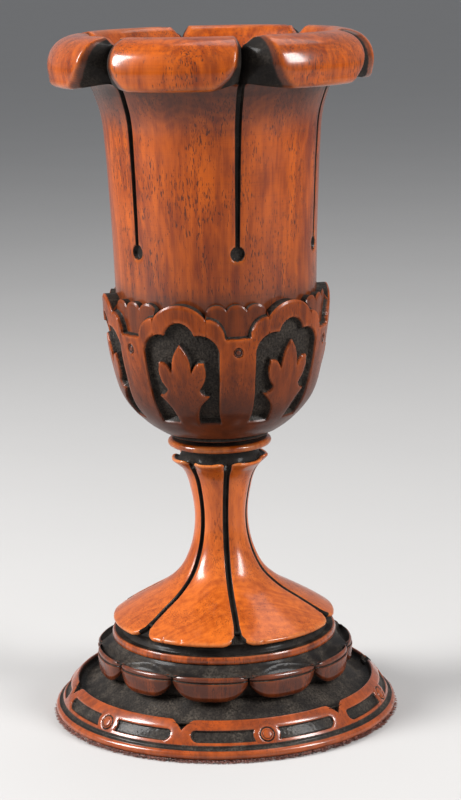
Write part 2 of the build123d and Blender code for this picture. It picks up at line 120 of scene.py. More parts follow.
class ChaliceColours(bpy.types.PropertyGroup):
    """Colours that a user would change."""

    bowl_light: colour("Bowl light", "Lighter wood of the bowl", (0.41, 0.074, 0.001))
    bowl_dark: colour("Bowl dark", "Darker figure of the bowl", (0.130, 0.0145, 0.0005))
    stem_light: colour("Stem light", "Lighter wood of the stem", (0.50, 0.108, 0.012))
    stem_dark: colour("Stem dark", "Darker figure of the stem", (0.24, 0.038, 0.004))
    calyx_light: colour("Calyx light", "Lighter wood of the calyx", (0.25, 0.042, 0.001))
    calyx_dark: colour("Calyx dark", "Darker figure of the calyx", (0.055, 0.0075, 0.0005))
    pin_light: colour("Pin light", "Lighter wood of the pins", (0.085, 0.017, 0.006))
    pin_dark: colour("Pin dark", "Darker figure of the pins", (0.03, 0.007, 0.003))
    foot_light: colour("Foot light", "Lighter wood of plinth and base", (0.30, 0.050, 0.004))
    foot_dark: colour("Foot dark", "Darker figure of plinth and base", (0.090, 0.014, 0.002))
    ground: colour("Ground", "Blackened sunk ground", (0.008, 0.006, 0.005))
    # Dust colour, lifted so that it also paints a grey sheen on the blackened grounds
    dust: colour("Dust", "Dust and old wax in the hollows", (0.095, 0.077, 0.060))
    pile: colour("Pile", "Velvet pile of the pad", (0.30, 0.085, 0.050))


# ---------------------------------------------------------------- outlines


def curve(points, step):
    """Points about a step apart on a smooth curve through a few chosen points."""
    p = np.array(points, float)
    span = np.hypot(*np.diff(p, axis=0).T)
    t = np.concatenate([[0], np.cumsum(span)])
    slope = np.gradient(p, t, axis=0)
    s = np.linspace(0, t[-1], max(1, round(t[-1] / step)) + 1)
    k = np.clip(np.searchsorted(t, s, side="right") - 1, 0, len(span) - 1)
    u = ((s - t[k]) / span[k])[:, None]
    h = span[k][:, None]
    return (
        (2 * u**3 - 3 * u**2 + 1) * p[k]
        + (u**3 - 2 * u**2 + u) * h * slope[k]
        + (3 * u**2 - 2 * u**3) * p[k + 1]
        + (u**3 - u**2) * h * slope[k + 1]
    )


def bow(start, middle, end, step=0.3):
    """Points on a circular arc through three points."""
    (ax, ay), (bx, by), (cx, cy) = start, middle, end
    d = 2 * (ax * (by - cy) + bx * (cy - ay) + cx * (ay - by))
    ux = ((ax**2 + ay**2) * (by - cy) + (bx**2 + by**2) * (cy - ay) + (cx**2 + cy**2) * (ay - by)) / d
    uy = ((ax**2 + ay**2) * (cx - bx) + (bx**2 + by**2) * (ax - cx) + (cx**2 + cy**2) * (bx - ax)) / d
    radius = hypot(ax - ux, ay - uy)
    a, b, c = (np.arctan2(y - uy, x - ux) for x, y in (start, middle, end))
    turned = (c - a) % (2 * pi)
    if (b - a) % (2 * pi) > turned:
        turned -= 2 * pi
    t = a + turned * np.linspace(0, 1, max(2, round(abs(turned) * radius / step)) + 1)
    return np.column_stack([ux + radius * np.cos(t), uy + radius * np.sin(t)])


def shares(start, end, pairs):
    """Points between two corners, given as shares of the way out and of the way up."""
    return [
        (start[0] + out * (end[0] - start[0]), start[1] + up * (end[1] - start[1]))
        for out, up in pairs
    ]


def near(x, z, *offsets):
    """Points at offsets from a place."""
    return [(x + out, z + up) for out, up in offsets]


def inset(points, distance):
    """Points moved square to their own line, to its left for a positive distance."""
    p = np.array(points, float)
    along = np.gradient(p, axis=0)
    along /= np.hypot(*along.T)[:, None]
    return p + distance * np.column_stack([-along[:, 1], along[:, 0]])


class Outline:
    """Half section of a turning: stretches with names, from which rows of points are read."""

    def __init__(self, *stretches):
        points, names, share = [], [], []
        for name, line in stretches:
            line = np.array(line, float)
            if len(points) and np.allclose(line[0], points[-1], atol=1e-6):
                line = line[1:]
            points += list(line)
            names += [name] * len(line)
            share += list((np.arange(len(line)) + 1) / len(line))
        self.points = np.array(points)
        self.names = np.array(names)
        self.share = np.array(share)
        along = np.gradient(self.points, axis=0)
        along /= np.maximum(np.hypot(*along.T)[:, None], 1e-9)
        self.outward = np.column_stack([along[:, 1], -along[:, 0]])


# ---------------------------------------------------------------- turning and carving


def deselect():
    bpy.ops.object.select_all(action="DESELECT")


def read(elements, name):
    """A vector of each of a mesh's elements, one row each."""
    values = np.empty(len(elements) * 3)
    elements.foreach_get(name, values)
    return values.reshape(-1, 3)


def keep_mask(piece, name, values):
    """Keeps one value for each vertex, from 0 to 1."""
    attribute = piece.data.attributes.new(name, "FLOAT", "POINT")
    attribute.data.foreach_set("value", np.clip(np.asarray(values, float), 0, 1).astype(np.float32))


def turn(name, outline, steps, closed=False):
    """Turns an outline: a primitive cut down to one vertex, extruded along it, then spun.

    It gives the piece, and each vertex's angle and row of the outline.
    """
    deselect()
    r, z = outline.points[0] * MM
    bpy.ops.mesh.primitive_plane_add(size=MM, location=(r, 0, z))
    piece = bpy.context.object
    piece.name = name
    bpy.ops.object.transform_apply(location=True, rotation=True, scale=True)
    bpy.ops.object.mode_set(mode="EDIT")
    bpy.ops.mesh.select_mode(type="VERT")
    bpy.ops.mesh.select_all(action="SELECT")
    bpy.ops.mesh.merge(type="CENTER")
    for dr, dz in np.diff(outline.points, axis=0) * MM:
        bpy.ops.mesh.extrude_region_move(TRANSFORM_OT_translate={"value": (dr, 0, dz)})
    if closed:
        bpy.ops.mesh.select_all(action="DESELECT")
        bpy.ops.object.mode_set(mode="OBJECT")
        for end in (0, len(piece.data.vertices) - 1):
            piece.data.vertices[end].select = True
        bpy.ops.object.mode_set(mode="EDIT")
        bpy.ops.mesh.edge_face_add()
    bpy.ops.mesh.select_all(action="SELECT")
    bpy.ops.mesh.spin(steps=steps, angle=2 * pi, center=(0, 0, 0), axis=(0, 0, 1))
    bpy.ops.mesh.select_all(action="SELECT")
    bpy.ops.mesh.remove_doubles(threshold=0.002 * MM)
    bpy.ops.mesh.normals_make_consistent(inside=False)
    bpy.ops.object.mode_set(mode="OBJECT")
    x, y, z = read(piece.data.vertices, "co").T / MM
    r = np.hypot(x, y)
    row = np.empty(len(r), int)
    batch = 20000  # vertices at a time, to save memory
    for start in range(0, len(r), batch):
        part = slice(start, start + batch)
        gap = np.abs(r[part, None] - outline.points[None, :, 0])
        gap += np.abs(z[part, None] - outline.points[None, :, 1])
        row[part] = gap.argmin(axis=1)
    return piece, np.arctan2(y, x), row


def crowd(angle, repeats, amount):
    """Angles drawn together round each of so many equal places, the first at 0."""
    return angle - amount / repeats * np.sin(repeats * angle)


def off_centre(angle, repeats, start=0.0):
    """Angle from the nearest of so many equal places."""
    pitch = 2 * pi / repeats
    return (angle - start + pitch / 2) % pitch - pitch / 2


def ramp(value, low_end, high_end):
    """Smooth step from 0 to 1."""
    t = np.clip((value - low_end) / (high_end - low_end), 0, 1)
    return t * t * (3 - 2 * t)


def outside(x, y, polygon):
    """Distance from points to a closed outline: positive outside, negative inside."""
    best = np.full(len(x), 1e9)
    crossings = np.zeros(len(x), int)
    for (ax, ay), (bx, by) in zip(polygon, np.roll(polygon, -1, axis=0)):
        ex, ey = bx - ax, by - ay
        squared = ex * ex + ey * ey
        if squared < 1e-12:
            continue
        t = np.clip(((x - ax) * ex + (y - ay) * ey) / squared, 0, 1)
        best = np.minimum(best, (x - ax - t * ex) ** 2 + (y - ay - t * ey) ** 2)
        spans = (ay > y) != (by > y)
        if ay != by:
            crossings += spans & (x < ax + (y - ay) * ex / ey)
    return np.sqrt(best) * np.where(crossings % 2, -1, 1)


def cut(distance, depth, slope, wear=0.10):
    """Depth of a sunk ground at a distance inside its edge: steep wall, softly worn edge."""
    return depth * ramp(-distance, 0, slope) + wear * ramp(-distance, -0.9, 0.1)


def wander(x, y, z, scale, seed=0.0):
    """Smooth random values, one for each point, from -1 to 1."""
    return np.array([noise.noise((a * scale + seed, b * scale, c * scale)) for a, b, c in zip(x, y, z)])


def put_back(piece, angle, r, z, masks):
    """Writes the carved places and masks into the mesh, and finishes it."""
    co = np.column_stack([r * np.cos(angle), r * np.sin(angle), z]) * MM
    piece.data.vertices.foreach_set("co", co.ravel())
    piece.data.update()
    for name, values in masks.items():
        keep_mask(piece, name, values)
    weather(piece)


def weather(piece):
    """Keeps how far each vertex stands out of, or lies behind, its neighbours."""
    mesh = piece.data
    count = len(mesh.vertices)
    smoothings, strength = 3, 6.0
    co = read(mesh.vertices, "co") / MM
    normal = read(mesh.vertex_normals, "vector")
    ends = np.empty(len(mesh.edges) * 2, np.int32)
    mesh.edges.foreach_get("vertices", ends)
    a, b = ends.reshape(-1, 2).T
    step = np.linalg.norm(co[a] - co[b], axis=1)

    def gathered(values_a, values_b):
        return np.bincount(a, values_a, count) + np.bincount(b, values_b, count)

    neighbours = np.maximum(gathered(np.ones(len(a)), np.ones(len(a))), 1)
    mean = np.column_stack([gathered(co[b, i], co[a, i]) / neighbours for i in range(3)])
    mean_step = gathered(step, step) / neighbours
    bulge = -((mean - co) * normal).sum(axis=1) / np.maximum(mean_step, 0.05)
    for _ in range(smoothings):
        bulge = 0.4 * bulge + 0.6 * gathered(bulge[b], bulge[a]) / neighbours
    keep_mask(piece, "worn", bulge * strength)
    keep_mask(piece, "hollow", -bulge * strength)


def finish(piece, node, material):
    """Shades a finished piece, gives it its material, hides its CAD part and hangs it under the root body."""
    deselect()
    piece.select_set(True)
    bpy.context.view_layer.objects.active = piece
    bpy.ops.object.shade_smooth_by_angle(angle=SMOOTH_BELOW)
    piece.data.materials.clear()
    piece.data.materials.append(material)
    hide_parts(node)
    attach(piece, "root")


# ---------------------------------------------------------------- wood and other finishes


class Wire:
    """An output in a node tree. Sums, differences and products of wires add Math nodes."""

    def __init__(self, tree, socket):
        self.tree, self.socket = tree, socket

    def maths(self, operation, *others):
        return node(self.tree, "Math", (self, *others), operation=operation)

    def __add__(self, other):
        return self.maths("ADD", other)

    def __sub__(self, other):
        return self.maths("SUBTRACT", other)

    def __mul__(self, other):
        return self.maths("MULTIPLY", other)

    def __radd__(self, other):
        return node(self.tree, "Math", (other, self), operation="ADD")

    def __rsub__(self, other):
        return node(self.tree, "Math", (other, self), operation="SUBTRACT")

    def most(self, other):
        return self.maths("MAXIMUM", other)


def feed(inputs, values):
    """Links or sets inputs, named or in order."""
    for key, value in values.items() if isinstance(values, dict) else enumerate(values):
        if isinstance(value, Wire):
            value.tree.links.new(value.socket, inputs[key])
        else:
            inputs[key].default_value = value


def node(tree, kind, values=(), output=0, **settings):
    """Adds a node, feeds its inputs, and gives one of its outputs."""
    made = tree.nodes.new("ShaderNode" + kind)
    for key, value in settings.items():
        setattr(made, key, value)
    feed(made.inputs, values)
    return Wire(tree, made.outputs[output])


def blend(share, first, second):
    """Mixes two colours by a share."""
    sockets = {0: share, 6: first, 7: second}
    return node(share.tree, "Mix", sockets, 2, data_type="RGBA", blend_type="MIX", clamp_factor=True)


def between(value, low_end, high_end, interpolation="SMOOTHSTEP"):
    """Share of the way from one value to another, from 0 to 1."""
    values = (value, low_end, high_end, 0.0, 1.0)
    return node(value.tree, "MapRange", values, interpolation_type=interpolation)


def stretched(place, factors, scale=1.0, detail=2.0, roughness=0.5, shift=(0, 0, 0)):
    """Noise on coordinates in millimetres, stretched by a factor along each axis."""
    moved = node(place.tree, "VectorMath", (place, factors), operation="MULTIPLY")
    moved = node(place.tree, "VectorMath", (moved, shift), operation="ADD")
    values = {"Vector": moved, "Scale": scale, "Detail": detail, "Roughness": roughness}
    return node(place.tree, "TexNoise", values)


def bumped(height, strength, distance):
    """Normals of a fine relief, so many millimetres deep."""
    return node(height.tree, "Bump", {"Strength": strength, "Distance": distance * MM, "Height": height})


def open_group(name, inputs):
    """A node group whose inputs have these names and defaults; gives the tree and its wires."""
    tree = bpy.data.node_groups.new(name, "ShaderNodeTree")
    for label, default in inputs.items():
        kind = "NodeSocketColor" if isinstance(default, tuple) else "NodeSocketFloat"
        tree.interface.new_socket(label, in_out="INPUT", socket_type=kind).default_value = default
    ends = tree.nodes.new("NodeGroupInput").outputs
    return tree, {label: Wire(tree, ends[label]) for label in inputs}


def close_group(tree, results):
    """Gives a node group its outputs: the first is a colour, the others are values."""
    for label in results:
        kind = "NodeSocketColor" if label == "Color" else "NodeSocketFloat"
        tree.interface.new_socket(label, in_out="OUTPUT", socket_type=kind)
    feed(tree.nodes.new("NodeGroupOutput").inputs, results)
    return tree


def placed(tree, name, build, values):
    """A node group with its own values in a material; the group itself is built once."""
    made = tree.nodes.new("ShaderNodeGroup")
    made.node_tree = bpy.data.node_groups.get(name) or build(name)
    feed(made.inputs, values)
    return {socket.name: Wire(tree, socket) for socket in made.outputs}


def millimetres(tree):
    """Object coordinates in millimetres."""
    place = node(tree, "TexCoord", output="Object")
    return node(tree, "VectorMath", (place, (1000, 1000, 1000)), operation="MULTIPLY")


def mask(tree, name):
    """A mask kept in the mesh by the carving."""
    return node(tree, "Attribute", output="Fac", attribute_name=name)


def wood_figure(name):
    """Figure, fibres, pores and lathe marks of close-grained wood with its grain upright."""
    tree, given = open_group(name, {
        "Light": (0.5, 0.2, 0.05, 1), "Dark": (0.2, 0.06, 0.02, 1), "Figure": 0.5, "Pores": 0.6, "Lathe Marks": 0.5,
    })
    heart_x, heart_y = -38.0, 64.0  # the tree's heart, beside the piece
    pore_brown, groove_brown = (0.055, 0.010, 0.003, 1), (0.060, 0.012, 0.003, 1)
    place = millimetres(tree)
    x, y, z = (node(tree, "SeparateXYZ", (place,), axis) for axis in range(3))
    off_x, off_y = x - heart_x, y - heart_y
    drift = stretched(place, (0.035, 0.035, 0.010))
    clouds = stretched(place, (0.11, 0.11, 0.045), detail=3, roughness=0.6, shift=(3, 7, 2))
    fibres = stretched(place, (2.6, 2.6, 0.12), detail=3, roughness=0.65)
    streaks = stretched(place, (0.55, 0.55, 0.03), shift=(11, 5, 0))

    wavy = (off_x * off_x + off_y * off_y).maths("SQRT") + drift * 26.0
    rings = (wavy * 2.1).maths("SINE")
    fine_rings = stretched(node(tree, "CombineXYZ", (wavy, 0.0, z * 0.01)), (1.0, 1.0, 1.0), 0.9, detail=3)
    dark = (rings * 0.03 + fine_rings) * 0.40 + clouds * 0.65 + streaks * 0.5 + fibres * 0.28
    dark = between(dark, 0.66, 1.16) * (given["Figure"] * 1.6)
    colour_out = blend(dark, given["Light"], given["Dark"])

    flecks = stretched(place, (2.9, 2.9, 0.46), shift=(0, 13, 4))
    patches = between(stretched(place, (0.10, 0.10, 0.05), shift=(21, 2, 9)), 0.36, 0.62)
    threshold = 0.70 - patches * 0.14
    pores = between(flecks, threshold, threshold + 0.035, "LINEAR") * given["Pores"]
    marks = stretched(place, (0.03, 0.03, 3.2), detail=3, roughness=0.7) * given["Lathe Marks"]
    colour_out = blend(pores, colour_out, pore_brown)
    colour_out = blend(between(marks, 0.28, 0.42) * 0.16, colour_out, groove_brown)
    height = fibres * 0.35 + marks * 0.8 - pores * 0.9
    return close_group(tree, {"Color": colour_out, "Pore Mask": pores, "Height": height})


def old_polish(name):
    """Wear on edges, grime in hollows, painted shade from the shade mask, and blackened sunk grounds with dust and a
    painted sheen, over a wood colour.
    """
    tree, given = open_group(name, {
        "Color": (0.5, 0.2, 0.05, 1), "Worn Color": (0.7, 0.3, 0.1, 1), "Ground Color": (0.012, 0.01, 0.008, 1),
        "Dust Color": (0.07, 0.065, 0.055, 1), "Wear": 0.6, "Grime": 0.7, "Dust": 0.5, "Punching": 0.0,
    })
    grime_and_shade_brown = (0.034, 0.008, 0.003, 1)
    place = millimetres(tree)
    patchy = stretched(place, (0.16, 0.16, 0.16), detail=4, roughness=0.65, shift=(5, 1, 8))
    fine = stretched(place, (1.6, 1.6, 1.6), detail=3, roughness=0.7, shift=(2, 9, 1))
    pits = between(node(tree, "TexVoronoi", {"Vector": place, "Scale": 1.5}), 0.10, 0.55)

    wear = mask(tree, "worn") * (between(patchy, 0.34, 0.62) * given["Wear"])
    colour_out = blend(wear, given["Color"], given["Worn Color"])
    handled = between(patchy, 0.50, 0.78) * 0.30
    darkening = (mask(tree, "hollow") * given["Grime"]).most(handled * given["Grime"])
    # Painted shade: the shade mask darkens the colour towards the same brown as the grime.
    darkening = darkening.most(mask(tree, "shade") * (0.55 + patchy * 0.8))
    colour_out = blend(darkening, colour_out, grime_and_shade_brown)

    ground = between(mask(tree, "ground") + (fine - 0.5) * 0.35, 0.30, 0.62)
    punched = pits * given["Punching"]
    # Dust on the blackened grounds, whose colour also stands for a painted grey sheen.
    dust = between(patchy, 0.38, 0.70) * given["Dust"] + punched * 0.35
    dust = dust * between(fine, 0.30, 0.72)
    colour_out = blend(ground, colour_out, blend(dust, given["Ground Color"], given["Dust Color"]))
    rough = 0.25 + patchy * 0.16 + ground * 0.26 + dust.most(darkening) * 0.20
    height = punched * ground * 3.0 + fine * 0.5
    return close_group(tree, {"Color": colour_out, "Roughness": rough, "Height": height, "Ground": ground})


def blank_material(name):
    """A material with only its shader; gives the material, its tree and the shader's inputs."""
    material = bpy.data.materials.new(name)
    material.use_nodes = True
    return material, material.node_tree, material.node_tree.nodes["Principled BSDF"].inputs


def opaque(rgb, share=1.0):
    return (*(share * c for c in rgb), 1.0)


# Name: colours, worn edges, then figure, pores, lathe marks, wear, grime, dust with a painted sheen, punching and
# gloss.
WOODS = {
    "bowl": ("bowl", (0.50, 0.130, 0.020), 0.60, 0.9, 0.6, 0.6, 0.6, 0.35, 0.0, 0.65),
    "calyx": ("calyx", (0.48, 0.110, 0.022), 0.55, 0.7, 0.15, 0.45, 0.8, 0.25, 0.8, 0.28),
    "pin": ("pin", (0.2, 0.06, 0.02), 0.4, 0.5, 0.0, 0.2, 0.9, 0.5, 0.0, 0.4),
    "collar": ("calyx", (0.72, 0.26, 0.07), 0.5, 0.5, 0.6, 0.8, 0.7, 0.3, 0.0, 0.6),
    "stem": ("stem", (0.64, 0.26, 0.08), 0.55, 0.5, 0.5, 0.5, 0.5, 0.35, 0.0, 0.6),
    "plinth": ("foot", (0.50, 0.125, 0.032), 0.8, 1.0, 0.2, 0.5, 0.6, 0.75, 0.0, 0.7),
    "base": ("foot", (0.50, 0.125, 0.032), 0.5, 0.45, 0.3, 0.5, 0.7, 0.65, 0.5, 0.8),
    "button": ("foot", (0.42, 0.11, 0.03), 0.5, 0.4, 0.0, 0.4, 0.6, 0.5, 0.0, 0.5),
}


def old_wood(name):
    """Polished old wood with blackened grounds."""
    tone, worn, figure, pores, lathe, wear, darkening, dust, punching, gloss = WOODS[name]
    colours = bpy.context.scene.chalice_colours
    material, tree, shader = blank_material(name + "_wood")
    light, dark = (opaque(getattr(colours, tone + shade)) for shade in ("_light", "_dark"))
    figured = placed(tree, "wood figure", wood_figure, {
        "Light": light, "Dark": dark, "Figure": figure, "Pores": pores, "Lathe Marks": lathe,
    })
    polished = placed(tree, "old polish", old_polish, {
        "Color": figured["Color"], "Worn Color": opaque(worn), "Ground Color": opaque(colours.ground),
        "Dust Color": opaque(colours.dust), "Wear": wear, "Grime": darkening, "Dust": dust, "Punching": punching,
    })
    bare = 1.0 - polished["Ground"] * 0.85
    feed(shader, {
        "Base Color": polished["Color"],
        "Roughness": polished["Roughness"] + figured["Pore Mask"] * 0.15,
        "Normal": bumped(figured["Height"] + polished["Height"], 0.35, 0.05),
        "Coat Weight": bare * gloss, "Coat Roughness": 0.17, "Coat IOR": 1.5, "IOR": 1.22,
    })
    return material


def pile_cloth(name):
    """Worn velvet pile, matted and dusty."""
    colours = bpy.context.scene.chalice_colours
    material, tree, shader = blank_material(name)
    place = millimetres(tree)
    fluff = stretched(place, (2.2, 2.2, 2.2), detail=4, roughness=0.7)
    mats = stretched(place, (0.25, 0.25, 0.25), detail=3)
    colour_out = blend(between(fluff, 0.35, 0.65), opaque(colours.pile, 0.35), opaque(colours.pile))
    feed(shader, {
        "Base Color": blend(between(mats, 0.52, 0.75), colour_out, opaque(colours.dust)),
        "Roughness": 0.8 + fluff * 0.2,
        "Normal": bumped(fluff, 0.8, 0.3),
        "Sheen Weight": 0.5, "Sheen Roughness": 0.5,
    })
    return material


def plain_finish(name, rgb, roughness):
    """Quiet finish of the stage, with a faint mottle."""
    material, tree, shader = blank_material(name)
    mottle = stretched(millimetres(tree), (0.01, 0.01, 0.01), detail=3)
    feed(shader, {"Base Color": blend(mottle, opaque(rgb), opaque(rgb, 0.96)), "Roughness": roughness})
    return material


# ---------------------------------------------------------------- outlines that pieces share


def lengths():
    """Sizes of the scene in millimetres, by name."""
    sizes = bpy.context.scene.chalice_sizes
    return {name: getattr(sizes, name) / MM for name in ChaliceSizes.__annotations__ if name != "pile_tufts"}


def calyx_outline(size):
    """Outside of the calyx: a few points from its foot to its rim."""
    foot_radius = 15.9
    return shares(
        (foot_radius, low("calyx")),
        (size["wall_radius"] + size["calyx_wall"], high("calyx")),
        ((0, 0), (0.37, 0.11), (0.69, 0.27), (0.87, 0.51), (0.97, 0.78), (1, 1)),
    )


def wall_outline(size):
    """Outside of the bowl's bare wall, from the calyx to the turn of the rim."""
    rim_height = 18.1
    return shares(
        (size["wall_radius"], high("calyx")),
        (size["wall_radius"] + size["wall_flare"], high("bowl") - rim_height),
        ((0, 0), (0.10, 0.29), (0.22, 0.5), (0.36, 0.71), (0.66, 0.92), (1, 1)),
    )


# ---------------------------------------------------------------- the bowl


class CHALICE_OT_bowl(bpy.types.Operator):
    """Turned bowl whose rim rolls over in six petals, with six keyhole grooves"""

    bl_idname = "chalice.bowl"
    bl_label = "Bowl"

    def execute(self, context):
        size = lengths()
        calyx_line, wall_line = calyx_outline(size), wall_outline(size)
        top, calyx_top = high("bowl"), high("calyx")
        wall_top = wall_line[-1]
        lip = top - size["petal_drop"]
        edge = wall_top[0] + size["rim_reach"]
        crest = (wall_top[0] + 4.3, top)
        contact = inset(calyx_line, size["calyx_wall"])
        seat = low("calyx") + SEAT_RISE
        floor = seat + size["bowl_wall"]
        inner = inset(list(contact[1:-1]) + wall_line, size["bowl_wall"])
        keyhole = calyx_top + 14.7
        wall = curve(wall_line, 0.5)
        keep = (np.abs(wall[:, 1] - keyhole) < 4.5) | (np.arange(len(wall)) % 4 == 0)
        keep[0] = keep[-1] = True
        outline = Outline(
            ("spigot", [(0, low("bowl")), (SPIGOT, low("bowl")), (SPIGOT, seat)]),
            ("seat", curve([(SEAT_RADIUS, seat), *contact[1:-1], wall_line[0]], 5.0)),
            ("wall", wall[keep]),
            ("under", curve([*near(*wall_top, (0, 0), (1.5, 3.2), (5.0, 6.6)), (edge - 3.6, lip + 3.4)], 1.1)),
            ("lip", bow(*near(edge, lip, (-3.6, 3.4), (-2.2, 0), (-0.5, 2.2)), 0.8)),
            ("roll", curve([(edge - 0.5, lip + 2.2),
                            *near(edge, top, (0, -9.3), (-0.9, -5.2), (-3.6, -2.0), (-6.6, -0.6)), crest], 0.75)),
            ("mouth", curve([*near(*crest, (0, 0), (-1.9, -0.5), (-3.7, -2.8), (-6.6, -9.5)), inner[-1]], 1.1)),
            ("inside", curve(inner[::-1], 4.0)),
            ("floor", curve([inner[0], (inner[0][0] / 2, floor + 0.8), (0, floor)], 4.0)),
        )
        piece, angle, row = turn("bowl_carved", outline, 620)
        angle = crowd(angle, SECTORS, 0.6)
        away = off_centre(angle, SECTORS)
        r, z = outline.points[row].T
        part = outline.names[row]

        # Between two petals the rim falls back to a neck, and the crest has a notch.
        notch_foot = top - size["rim_notch"]
        neck = curve([wall_top, (wall_top[0] + 1.2, wall_top[1] + 5), (crest[0] - 1.6, notch_foot)], 0.1)
        petal = ("under", "lip", "roll")
        petal_rows = np.flatnonzero(np.isin(outline.names, petal))
        climb = np.clip((row - petal_rows[0]) / (len(petal_rows) - 1), 0, 1)
        neck_r, neck_z = (np.interp(climb, np.linspace(0, 1, len(neck)), line) for line in neck.T)
        gap_rise = (lip - 1, lip + 1, lip + 3.5, lip + 7.5, top - 4, top - 1, top)
        near_half = (14.0, 12.4, 8.8, 5.6, 4.7, 4.2, 4.0)
        far_half = (17.2, 15.8, 13.0, 10.8, 10.2, 9.6, 9.2)
        mouth_half, softness = 4.6, 0.004
        outer = np.isin(part, petal)
        half = np.where(away < 0, np.interp(z, gap_rise, near_half), np.interp(z, gap_rise, far_half))
        share = np.abs(away) / np.radians(np.where(outer, half, mouth_half))
        share = np.clip((share + 1 - np.sqrt((share - 1) ** 2 + softness)) / 2, 0, 1)
        bulge = share ** np.where(outer, np.where(away < 0, 0.85, 0.55), 1.0)
        turn_in = top - 7.0
        mouth = (part == "mouth") & (z > turn_in)
        sunk_z = turn_in + (z - turn_in) * (notch_foot - turn_in) / (top - turn_in)
        r = np.where(outer, neck_r + (r - neck_r) * bulge, r)
        z = np.where(outer, neck_z + (z - neck_z) * bulge, z)
        z = np.where(mouth, sunk_z + (z - sunk_z) * share, z)
        r = r - mouth * 0.9 * (1 - share) * ramp(z, turn_in, notch_foot)

        # Keyhole grooves, blackened, from a round end up into each notch.
        outside_face = outer | (part == "wall")
        across = r * np.sin(away)
        half_width = 0.75 + 0.40 * np.clip((z - keyhole) / 50, 0, 1)
        groove = np.where(z > keyhole, np.abs(across) - half_width, 9.0)
        groove = np.minimum(groove, np.hypot(across, z - keyhole) - size["keyhole_radius"])
        depth = cut(groove, size["keyhole_depth"], slope=0.5, wear=0.08)
        r = r - outside_face * depth * (1 - 0.5 * ramp(z, wall_top[1], notch_foot))
        flank = outer * (1 - share)
        flank_black = ramp(flank, 0.06, 0.42) * np.where(part == "under", ramp(climb, 0.12, 0.3), 1)
        black = np.maximum(outside_face * ramp(-groove, -0.15, 0.25), flank_black)
        turned = np.radians(np.interp(z, (keyhole, top), (1.7, 3.3)))
        above = z - calyx_top
        # Painted shade: the wall darkens towards the calyx and up under the rim, and the petals' undersides and notch
        # flanks are darkened.
        shade = np.isin(part, ("wall", "seat")) * (0.40 * ramp(7 - above, 0, 7) ** 2 + 0.36 * ramp(34 - above, 0, 34))
        below_rim = np.where(part == "wall", 0.7 * ramp(above, 44, 61) ** 1.5, 0.75 * (part == "under"))
        shade = np.maximum(shade, np.maximum(below_rim, 0.85 * ramp(flank, 0.0, 0.12)))
        put_back(piece, angle + turned, r, z, {"ground": black, "shade": shade})
        finish(piece, "bowl", old_wood("bowl"))
        return DONE


# ---------------------------------------------------------------- the calyx


def leaf_outline(foot, rise):
    """Closed outline of one leaf on its stalk, from chosen points: out, share of the window up."""
    half = (
        ((3.3, -0.12), (3.2, 0.05), (4.6, 0.18), (7.9, 0.29)),
        ((7.9, 0.29), (6.4, 0.30), (4.9, 0.35)),
        ((4.9, 0.35), (6.8, 0.44), (7.4, 0.53), (7.1, 0.62)),
        ((7.1, 0.62), (5.2, 0.605), (3.0, 0.51)),
        ((3.0, 0.51), (2.75, 0.61), (1.7, 0.71), (0.0, 0.79)),
    )
    right = np.vstack([curve([(x, foot + y * rise) for x, y in stretch], 0.4)[:-1] for stretch in half])
    tip = [(0.0, foot + half[-1][-1][1] * rise)]
    return np.vstack([right, tip, right[::-1] * (-1, 1)])


def window_outline(foot, top):
    """Closed outline of a trefoil-headed window."""
    lobe, cusp, half, shoulder, foot_half = 4.9, top - 3.9, 12.3, top - 9.7, 9.5
    head = bow((lobe, cusp), (0, top), (-lobe, cusp))
    left_lobe = bow((-lobe, cusp), (-half + 1.8, cusp - 1.5), (-half, shoulder))
    side = curve([(-half, shoulder), (-half + 1.0, (shoulder + foot) / 2), (-foot_half, foot)], 0.5)
    left = np.vstack([left_lobe[1:], side[1:]])
    return np.vstack([head, left, left[::-1] * (-1, 1)])


def arch_height(across, top):
    """Height of an arch's outline at a distance from its middle."""
    lobe, drop, post_drop = 8.6, 4.4, 10.6
    radius = (lobe**2 + drop**2) / (2 * drop)
    head = top - radius + np.sqrt(np.maximum(radius**2 - across**2, 0))
    t = np.clip((np.abs(across) - lobe) / (ARCH_HALF - lobe), 0, 1)
    side = top - drop - (post_drop - drop) * (1 - np.sqrt(np.clip(1 - t**2.4, 0, 1)))
    return np.where(np.abs(across) < lobe, head, side)


def arch_outline(top):
    """Closed outline of what an arch and the posts beside it cover."""
    aside, below = 30.0, 80.0
    across = np.linspace(-ARCH_HALF, ARCH_HALF, 90)
    head = np.column_stack([across, arch_height(across, top)])
    post = head[0, 1]
    return np.vstack([head, [(aside, post), (aside, post - below), (-aside, post - below), (-aside, post)]])


